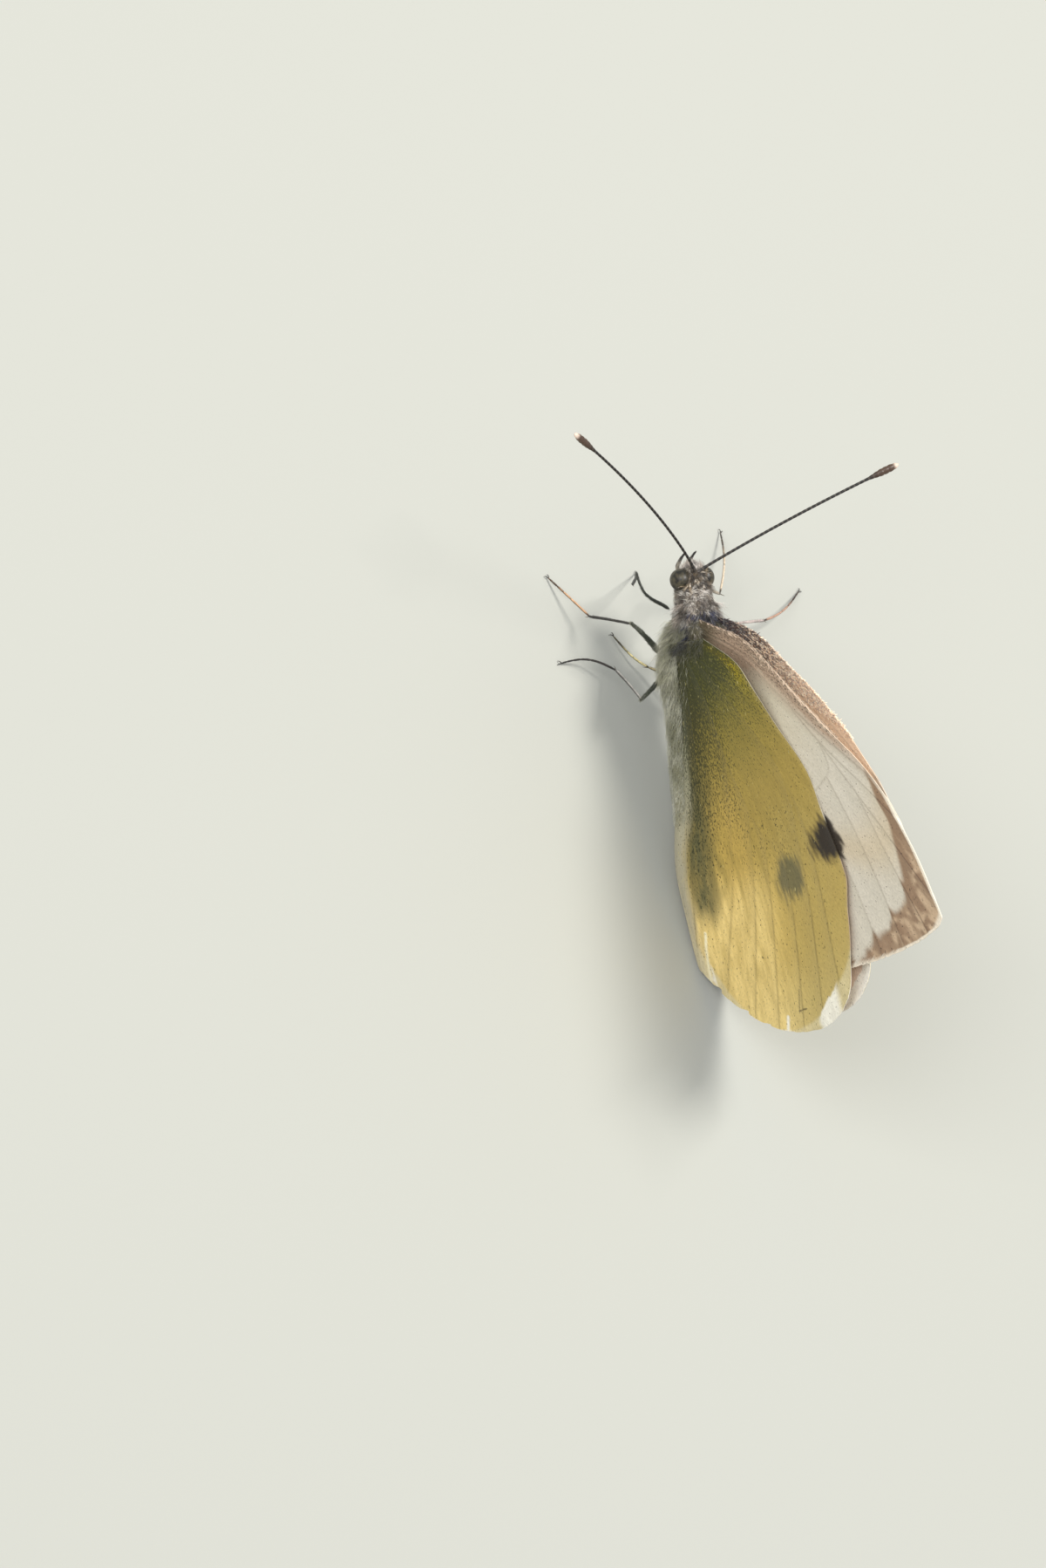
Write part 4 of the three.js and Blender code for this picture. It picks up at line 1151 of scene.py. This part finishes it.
# Coarse scales of the front edge: bark brown and cream, they lie outwards along the inner face of each forewing like
# shingles, and stand ragged out of its rim near the root.
rng = np.random.default_rng(62)
for side, sign, lift in (("left", 1, forewing_lift), ("right", -1, lagging_lift)):
    for name, count, deep, lean in EDGE_SCALES:
        u = 0.4 + 15.5 * rng.random(count) ** 1.5
        below = deep * rng.random(count) * ease(16, 7, u)
        v = forewing_front(u) - below - 0.35 * (sign > 0) * (deep > 1)
        here, normal, way, up = on_forewing(u, v, sign, lift, rng.uniform(0.02, 0.06, count))
        tilt = rng.normal(lean * (1 - 0.7 * below), 0.25, count)[:, None]
        way = way * np.cos(tilt) + up * np.sin(tilt)
        pale = mixed(tone(216, 184, 154), tone(255, 238, 214), rng.random(count)) * 1.25
        shade = mixed(tone(66, 48, 40), tone(132, 102, 82), rng.random(count))
        shade = layered(shade, ((240, 214, 186), 0.7 * ease(3, 11, u)))
        shade = mixed(shade, pale, (rng.random(count) < 0.25 + 0.4 * ease(1, 6, u)) * (1 if deep > 1 else 0.6))
        shade = layered(shade, ((38, 38, 52), 0.8 * bell(u, 0, 1.5)))
        reach = rng.uniform(0.35, 0.6, count) * (1 if deep > 1 else 0.55 - 0.2 * (sign > 0))
        rise = rng.uniform(0.05, 0.3, count)
        grown = tufts(here, normal, way, reach, rng.uniform(0.03, 0.055, count), rise, rise)
        spot = np.stack([0.02 + 0.96 * u / 16, 0.5 + 0.2 * below], -1)
        # The right wing's scales painted 1.55 times as light: painted light for its strip, in shade between the wings.
        shade = shade * (1.55 if sign < 0 else 0.9)
        shade = shade / np.maximum(shade.max(1, keepdims=True) / 1.3, 1.0)
        coat_piece(f"forewing_{side}_{name}", grown, shade, spot, hair_paint)

# --- Hindwings -------------------------------------------------------------------------------------------------------
# The two hind wings lie outside the forewings and roll under the abdomen. Their undersides are dull yellow, dusted
# with dark scales towards the root, paler at the worn and notched outer edge.
HIND_ROOT, HIND_TIP, HIND_CREST, HIND_RISE, HIND_TOP, HIND_MIDDLE = -0.4, 25.7, 17.5, 17.3, 15.35, 8.5
HIND_OFF, TROUGH, TROUGH_END = 0.65, 1.87, 0.9
NOTCHES = ((-1.6, 0.25), (-4.2, 0.3), (-6.7, 0.45), (-9.4, 0.25), (-11.9, 0.2))  # place round the edge and depth
# The forewing's spots as painted shadows where they show through the hindwing: middle, half sizes, strength, colour.
SEEN_THROUGH_SHADOWS = ((15.6, 9.0, 1.5, 1.75, 0.8, (90, 90, 68)), (13.7, 13.8, 1.5, 1.9, 1.0, (50, 41, 32)))
# The first of these lines is a painted highlight along the edge of the rolled fold.
FOLD_HIGHLIGHT, SLIT = [[(18.5, -0.6), (19.9, -0.95), (21.7, -1.35)]], [[(24.6, 6.65), (25.3, 6.5)]]
CRACK = [[(22.9, 8.4), (24.4, 8.1)], [(24.3, 8.05), (24.2, 9.0)]]
LONG_HAIRS, CORNER_HAIRS = 4600, 1200


def hindwing_front(back):
    """Height of the front edge: a rounded shoulder, a parabola to the crest with a shallow hollow in it, then a full
    curve of power 2.6 down to the tip, lower by 0.5 past the crest."""
    past = np.clip((back - HIND_CREST) / (HIND_TIP - HIND_CREST), 0, 1)
    before = np.maximum((HIND_CREST - back) / HIND_RISE, 0)
    curve = HIND_MIDDLE + (HIND_TOP - HIND_MIDDLE) * (1 - past**2.6) ** (1 / 2.6)
    shoulder = 0.65 * bell(back, 1.3, 1.4)
    hollow = 0.85 * bell(back, 11.6, 2.9) + 0.8 * bell(back, 6.2, 2.8)
    rise = HIND_TOP + 0.45 * ease(15.5, 9, back) - 11.2 * before**2 + shoulder - hollow
    return np.where(back > HIND_CREST, curve, rise) - 0.5 * ease(15.8, 18.5, back) * ease(24, 21, back)


def hindwing_place(along, across):
    """(back, w) for shares along and across, w being height over the abdomen's line. The front edge is as above, and
    the outer edge a rounder curve of power 1.7, notched where veins end."""
    back = HIND_ROOT + (HIND_TIP - 0.05 - HIND_ROOT) * (1 - np.cos(np.pi * along)) / 2
    line = abdomen_line(back)
    corner = np.clip((back - 19) / (HIND_TIP - 19), 0, 1)
    outer = HIND_MIDDLE - line - 11.3 * (1 - corner**1.7) ** (1 / 1.7)
    inner = 1.5 - 3.8 * ease(0.2, 6.7, back) + 1.45 * ease(13.5, 19, back)
    rear = np.where(back > 19, outer, inner)
    around = np.arctan2(np.where(back > 19, outer + line - HIND_MIDDLE, -11.0), back - 14.0) * 11.0
    notch = sum(deep * bell(around - at, 0, 0.28) for at, deep in NOTCHES)
    rear = rear + (back > 19.4) * (0.12 * np.abs(waver(around * 2.1, 31)) + notch)
    front = hindwing_front(back) - (back > 21.5) * 0.12 * np.abs(waver(hindwing_front(back) * 2.3, 33))
    return back, rear + np.maximum(front - line - rear, 0.05) * across**1.35


def hindwing_lift(back, w):
    """A hindwing's place. Over the abdomen's line the surface draws in from the trough's radius to lie on the
    forewing; under it, it rolls round the abdomen by the angle -w / radius."""
    line = abdomen_line(back)
    wide = TROUGH + 0.35 * (1 - ease(0, 5, back))
    radius = TROUGH_END + (wide - TROUGH_END) * (1 - ease(12, 22, back))
    flat = HIND_OFF + spread(back, line + w)
    flat = flat - 0.13 * ease(1.6, 0.2, hindwing_front(back) - line - w)
    draw = 1 - ease(0, 4.5, w)
    roll = np.maximum(-w, 0) / radius
    flare = 0.45 * ease(10, 15, back) * (1 - ease(19, 23, back))
    left = np.where(w < 0, radius * np.cos(roll), flat + (radius - flat) * draw) + flare * draw
    up = line + np.where(w < 0, -radius * np.sin(roll), w)
    return left, back, up


def slipped_lift(back, w):
    """The right hindwing's place: as the left's, but slipped up by 0.045 of the distance back above the abdomen, and
    forward by 0.9 at the tip."""
    left, back, up = hindwing_lift(back, w)
    return left, back - 0.9 * ease(16, 25, back), up + 0.045 * np.maximum(back - 2, 0) * ease(0, 6, w)


HINDWING_VEINS = [
    [(0.6, 3.2), (4, 7.8), (9, 12.0), (15.5, 15.3)],
    [(0.6, 2.9), (5, 6.8), (9, 9.9), (13.5, 11.9), (23.0, 13.2)],
    [(12.5, 10.6), (18, 11.0), (24.8, 10.9)],
    [(13.4, 8.8), (19, 8.9), (25.5, 8.5)],
    [(12.9, 6.9), (19, 6.4), (25.2, 5.6)],
    [(11, 5.6), (18, 4.5), (24.2, 3.0)],
    [(7.5, 4.1), (15, 2.6), (22.5, 0.3)],
    [(0.6, 1.8), (8, 1.0), (15, -0.6), (20.8, -1.9)],
    [(0.6, 2.4), (4, 3.4), (7.5, 4.1), (11, 5.6), (12.9, 6.9)],
    [(9, 9.9), (12.5, 10.6), (13.4, 8.8), (12.9, 6.9)],
]


def hindwing_marks(back, w, face):
    """Colour, dark dust, pale sparks and vein gap of a hindwing at (back, w). Olive green at the root warms and pales
    to the edge; a grey green band over the abdomen is painted shadow, where the abdomen keeps light from shining
    through, the forewing's two spots show through as painted shadows, and the rolled part is grey."""
    up = abdomen_line(back) + w
    gap = nearness(back, up, HINDWING_VEINS)
    ray, reach = np.arctan2(up - 1.2, back + 3.0), np.hypot(up - 1.2, back + 3.0)
    streak = brushed(ray, reach, 41)
    edge = np.hypot((back - 15.5) / 10.2, (up - 6.9) / 9.3)
    if face == "upper":
        from_spot = np.hypot((back - 13.7) / 1.5, (up - 14.2) / 1.9)
        colour = layered(
            np.broadcast_to(tone(244, 240, 228), back.shape + (3,)),
            ((150, 148, 140), 0.8 * bell(back, 0.5, 3.5)),
            ((80, 74, 70), 0.85 * (1 - ease(0.8, 1.1, np.hypot(back - 15.6, up - 13.4) / 1.6))),
            ((240, 216, 196), ease(0.72, 0.85, edge) * (back > 15)),
            # Painted shadow of the forewing's spot on the front edge over it.
            ((50, 41, 32), (1 - ease(0.7, 1.1, from_spot)) * ease(0.5, 0.3, hindwing_front(back) - up)),
            # A painted rim of light along the outer edge.
            ((255, 250, 238), ease(0.975, 0.985, edge + 0.01 * streak) * (back > 15)),
        )
        return colour, 0.04 + 0.3 * bell(back, 0, 4), 0 * back, gap
    far = np.hypot(back, 0.75 * (up - 2.5))
    warm = np.exp(-(((up - 3.2 - 0.04 * (back - 14)) / 1.9) ** 2)) * ease(7.5, 13.5, back) * (1 - ease(17, 24, back))
    yolk = bell(back, 1.5, 1.35) * np.exp(-(((hindwing_front(back) - up - 0.5) / 0.45) ** 2))
    # sunny is painted light on the lower rear of the wing, shady painted shade higher up from the middle back.
    sunny, shady = ease(14, 18, back) * ease(8, 4.5, up), ease(9, 13.5, back) * ease(6.6, 10.5, up)
    colour = layered(
        tone(98, 98, 38),
        ((136, 122, 50), ease(1.5, 6.5, far + 0.5 * streak)),
        ((170, 146, 72), ease(4.5, 11.5, far + 0.6 * streak)),
        ((206, 177, 98), ease(11.5, 19.5, far + 0.6 * streak)),
        ((224, 200, 132), ease(18.0, 24.5, np.hypot(back - 2, 0.9 * (up - 3.5)) + 0.4 * streak)),
        ((208, 174, 88), 0.6 * warm * (0.8 + 0.6 * streak)),
        ((240, 212, 138), 0.8 * sunny * (0.9 + 0.4 * streak)),
        ((170, 150, 84), 0.6 * shady * (0.9 + 0.3 * streak)),
        ((172, 152, 24), 0.9 * yolk),
    )
    # The band: painted shadow of the abdomen, which keeps light from shining through the wing; deep is its colour.
    band = ease(0.4, 1.3, w) * (1 - ease(1.9, 3.6, w + 0.5 * streak)) * ease(-0.5, 1.5, back)
    band *= 1 - ease(16.4, 18.6, back + 0.4 * waver(w * 3, 43))
    deep = mixed(tone(66, 65, 32), tone(92, 90, 58), ease(2, 15, back))
    colour = mixed(colour, deep, (0.6 + 0.35 * ease(4, 12, back)) * band * np.clip(0.9 + 0.4 * streak, 0, 1))
    rolled = 1 - ease(0.1, 1.1, w + 0.2 * streak - 0.75 * ease(14, 9, back) * ease(0, 3, back))
    lining = mixed(tone(146, 147, 122), tone(180, 174, 152), ease(4, 15, back))
    colour = mixed(colour, mixed(lining, tone(198, 185, 154), ease(16, 20, back)), 0.9 * rolled)
    # The forewing's two spots, painted as the shadows they cast through the hindwing.
    for cb, cu, rb, ru, much, shadow_tone in SEEN_THROUGH_SHADOWS:
        from_spot = np.hypot((back - cb) / rb, (up - cu) / ru) + 0.32 * streak + 0.1 * waver(up * 4, 44)
        colour = layered(colour, (shadow_tone, (1 - ease(0.55, 1.2, from_spot)) * much))
    root = bell(back, -0.3, 0.9) * ease(0.6, 1.2, w) * (1 - ease(2.2, 4.0, w + 0.6 * streak))
    # seam: black painted as the shade of the crease where the hindwing meets the thorax.
    seam = bell(back + 0.45 * w - 0.6, 0, 0.25) * ease(1.3, 1.6, w) * (1 - ease(2.6, 3.1, w))
    in_spot = 1 - ease(0.8, 1.3, np.hypot((back - 13.7) / 1.5, (up - 14.2) / 1.9))
    below = (hindwing_front(back) - up) / np.hypot(1, 0.9 * ease(18, 2, back))
    trim = (1 - in_spot) * ease(0.3, 0.1, below) * ease(1, 3, back)
    scrap = lattice(ray * 24 + 33, reach * 0.5, 45) + 0.35 * streak
    torn = ease(0.962, 0.985, edge) * ease(0.58, 0.7, scrap) * (back > 20)
    shore = 0.952 + 0.05 * (scrap - 0.5) + 0.04 * ease(11.2, 10.0, up)
    margin = ease(shore, shore + 0.015, edge) * ease(10.0, 10.6, up) * ease(13.1, 12.3, up) * (back > 21)
    torn = np.clip(np.maximum(torn, margin) + ease(0.2, 0.1, nearness(back, up, SLIT)), 0, 1)
    colour = layered(
        colour,
        ((54, 56, 28), 0.8 * root),
        ((26, 25, 20), 0.92 * seam),
        ((98, 84, 48), 0.5 * bell(gap, 0, 0.07) * ease(11, 19, back)),
        ((224, 212, 172), 0.6 * ease(0.965, 0.995, edge) * (back > 15)),
        ((206, 186, 132), 0.18 * trim),
        # Painted highlight on the edge of the fold.
        ((252, 242, 204), 0.95 * ease(0.14, 0.07, nearness(back, up, FOLD_HIGHLIGHT))),
        ((250, 246, 232), 0.92 * torn),
        ((92, 80, 52), 0.8 * ease(0.07, 0.03, nearness(back, up, CRACK))),
    )
    dust = 1.0 - 0.55 * ease(2, 10, far) - 0.4 * ease(9, 17, far)
    dust = dust - 0.34 * ease(2, 4.5, far) * ease(2.2, 4.4, w - 0.25 * back) * ease(14, 9, back)
    dust = dust + 0.25 * ease(3.0, 1.5, w) * ease(8, 5, back)
    dust = dust + 0.3 * np.clip(streak, 0, 1) * ease(5, 9, far) * ease(19, 14, back)
    # More dark dust inside the abdomen's painted shadow.
    dust = np.clip(dust + 0.15 * band - 0.2 * rolled - 0.1 * warm, 0.06, 1) * (1 - 0.8 * torn)
    spark = 0.2 + 0.12 * (1 - ease(2, 9, far)) + 0.1 * rolled
    colour = colour * (1 + 0.10 * streak[..., None])
    return colour, dust, spark, gap


hindwing_paint = wing_scales("hindwing_yellow_scales", tone(44, 46, 24), tone(206, 192, 128), 0.1)
for side, lift in (("left", hindwing_lift), ("right", slipped_lift)):
    dress_wing(side, "hindwing", hindwing_place, lift, hindwing_marks, hindwing_paint)


def on_hindwing(back, w, sign):
    """Roots on the outer face of a hindwing, with the normal that looks outwards and the way to the rear."""
    here, rear, higher = (lifted(hindwing_lift, back + b, w + h) for b, h in ((0, 0), (0.02, 0), (0, 0.02)))
    normal = np.cross(higher - here, rear - here)
    normal *= np.sign(normal[:, 1:2] - 0.3 * normal[:, 2:3] * (w < -1)[:, None] + 1e-12)
    normal = unit(normal)
    return [way * np.array([1, sign, 1]) for way in (here + normal * 0.05, normal, unit(rear - here))]


def fur_hindwing(name, side, back, w, reach, rise, shade, loose, rng):
    """A coat piece of tufts on a hindwing that run back and a little down, each turned by a random amount."""
    here, normal, way = on_hindwing(back, w, 1 if side == "left" else -1)
    way = pressed(way + np.array([0, 0, -0.25]) + rng.normal(0, loose, (len(back), 3)), normal)
    grown = tufts(here, normal, way, reach, rng.uniform(0.007, 0.014, len(back)), rise, 0.5 * rise)
    spot = np.stack([0.04 + 0.92 * (back + 0.5) / 12, 0.5 + 0.1 * w], -1)
    coat_piece(f"hindwing_{side}_{name}", grown, shade, spot, hair_paint)


# Hair of the hindwing's base: long pale hairs along the rolled part beside the abdomen, and a tuft of grey hair over
# the corner where the wing joins the thorax, black along the crease there: dark hair and painted shade together.
rng = np.random.default_rng(77)
for side in ("left", "right"):
    count = LONG_HAIRS
    back = 0.2 + 11.0 * rng.random(count) ** 1.5
    w = rng.uniform(-2.4, 1.5, count) * (1 - 0.05 * back) + 1.2 * (rng.random(count) < 0.05) * ease(5, 2, back)
    reach, rise = rng.uniform(0.3, 0.9, count) * ease(15, 4, back), rng.uniform(0.1, 0.7, count)
    light = 1.4 * lattice(back * 1.3 + 20, w * 1.6 + 20, 78) - 0.2 + rng.normal(0, 0.2, count)
    shade = mixed(tone(160, 158, 126), tone(232, 230, 208), np.clip(light, 0, 1))
    fur_hindwing("hair", side, back, w, reach, rise, shade, 0.16, rng)
    count = CORNER_HAIRS
    w = 0.9 + 3.4 * rng.random(count) ** 1.4
    back = -0.38 + 1.1 * rng.random(count) ** 2.2
    w = np.minimum(w, hindwing_front(back) - abdomen_line(back) - 0.1)
    shade = mixed(tone(42, 44, 20), tone(116, 112, 74), rng.random(count) ** 2)
    # Black tufts along the crease by the thorax: dark hair and painted shade of the crease.
    black = rng.random(count) < 0.4
    w = np.where(black, rng.uniform(1.4, 2.8, count), w)
    back = np.where(black, np.maximum(0.6 - 0.45 * w + rng.normal(0, 0.1, count), -0.38), back)
    shade = layered(shade, ((22, 21, 17), 0.95 * black))
    reach = rng.uniform(0.25, 0.7, count)
    fur_hindwing("corner_hair", side, back, w, reach, rng.uniform(0.3, 1.1, count), shade, 0.45, rng)

# --- Floor, light and camera -----------------------------------------------------------------------------------------
# A plain pale floor under soft studio light. The camera stands above the butterfly's left side, turned with it.
floor_mesh = bpy.data.meshes.new("floor")
floor_mesh.from_pydata([(-3, -3, 0), (3, -3, 0), (3, 3, 0), (-3, 3, 0)], [], [(0, 1, 2, 3)])
floor = bpy.data.objects.new("floor", floor_mesh)
bpy.context.scene.collection.objects.link(floor)
floor_paint = bpy.data.materials.new("floor_pale_matt")
floor_paint.use_nodes = True
floor_paint.node_tree.nodes["Principled BSDF"].inputs["Base Color"].default_value = (0.47, 0.48, 0.44, 1)
floor_paint.node_tree.nodes["Principled BSDF"].inputs["Roughness"].default_value = 0.9
floor_mesh.materials.append(floor_paint)

RIGHT_WAY = np.array([0.1247, 0.5331, -0.8371])
UP_WAY = np.array([-0.991, 0.0865, -0.0927])


def turned(way):
    """A direction in the body's back, up and left turned into the part's frame."""
    zero = stand(*np.zeros(3))
    tip = stand(way[0], way[2], way[1]) - zero
    return tip / np.linalg.norm(tip)


right, over = turned(RIGHT_WAY), turned(UP_WAY)
over = over - right * (over @ right)
over /= np.linalg.norm(over)
towards = np.cross(right, over)
VIEW_TALL, LENS = 101.7, 450.0
aim = stand(*np.zeros(3)) - right * 0.01107 - over * 0.00882
camera_data = bpy.data.cameras.new("camera")
camera_data.lens = LENS
camera_data.clip_start, camera_data.clip_end = 0.01, 20
camera = bpy.data.objects.new("camera", camera_data)
bpy.context.scene.collection.objects.link(camera)
spot = Vector(aim + towards * VIEW_TALL * 0.001 * LENS / 36.0)
camera.matrix_world = Matrix.Translation(spot) @ Matrix((right, over, towards)).transposed().to_4x4()
bpy.context.scene.camera = camera


def lamp(name, way, far, size, power, colour):
    """A square soft lamp that far along a direction from the butterfly, facing it."""
    data = bpy.data.lights.new(name, "AREA")
    data.size, data.energy, data.color = size, power, colour
    item = bpy.data.objects.new(name, data)
    way = Vector(way).normalized()
    item.location = Vector(aim) + way * far
    item.rotation_euler = way.to_track_quat("Z", "Y").to_euler()
    bpy.context.scene.collection.objects.link(item)


lamp("key", right * 0.75 + over * 0.5 + towards * 0.7, 0.6, 0.16, 2.9, (1.0, 0.96, 0.9))
lamp("fill", towards - right * 0.18 + over * 0.3, 0.7, 0.35, 2.0, (1.0, 0.985, 0.96))
world = bpy.data.worlds.new("studio")
world.use_nodes = True
world.node_tree.nodes["Background"].inputs["Color"].default_value = (0.95, 0.97, 1.0, 1)
world.node_tree.nodes["Background"].inputs["Strength"].default_value = 0.6
bpy.context.scene.world = world
bpy.context.scene.view_settings.view_transform = "Standard"
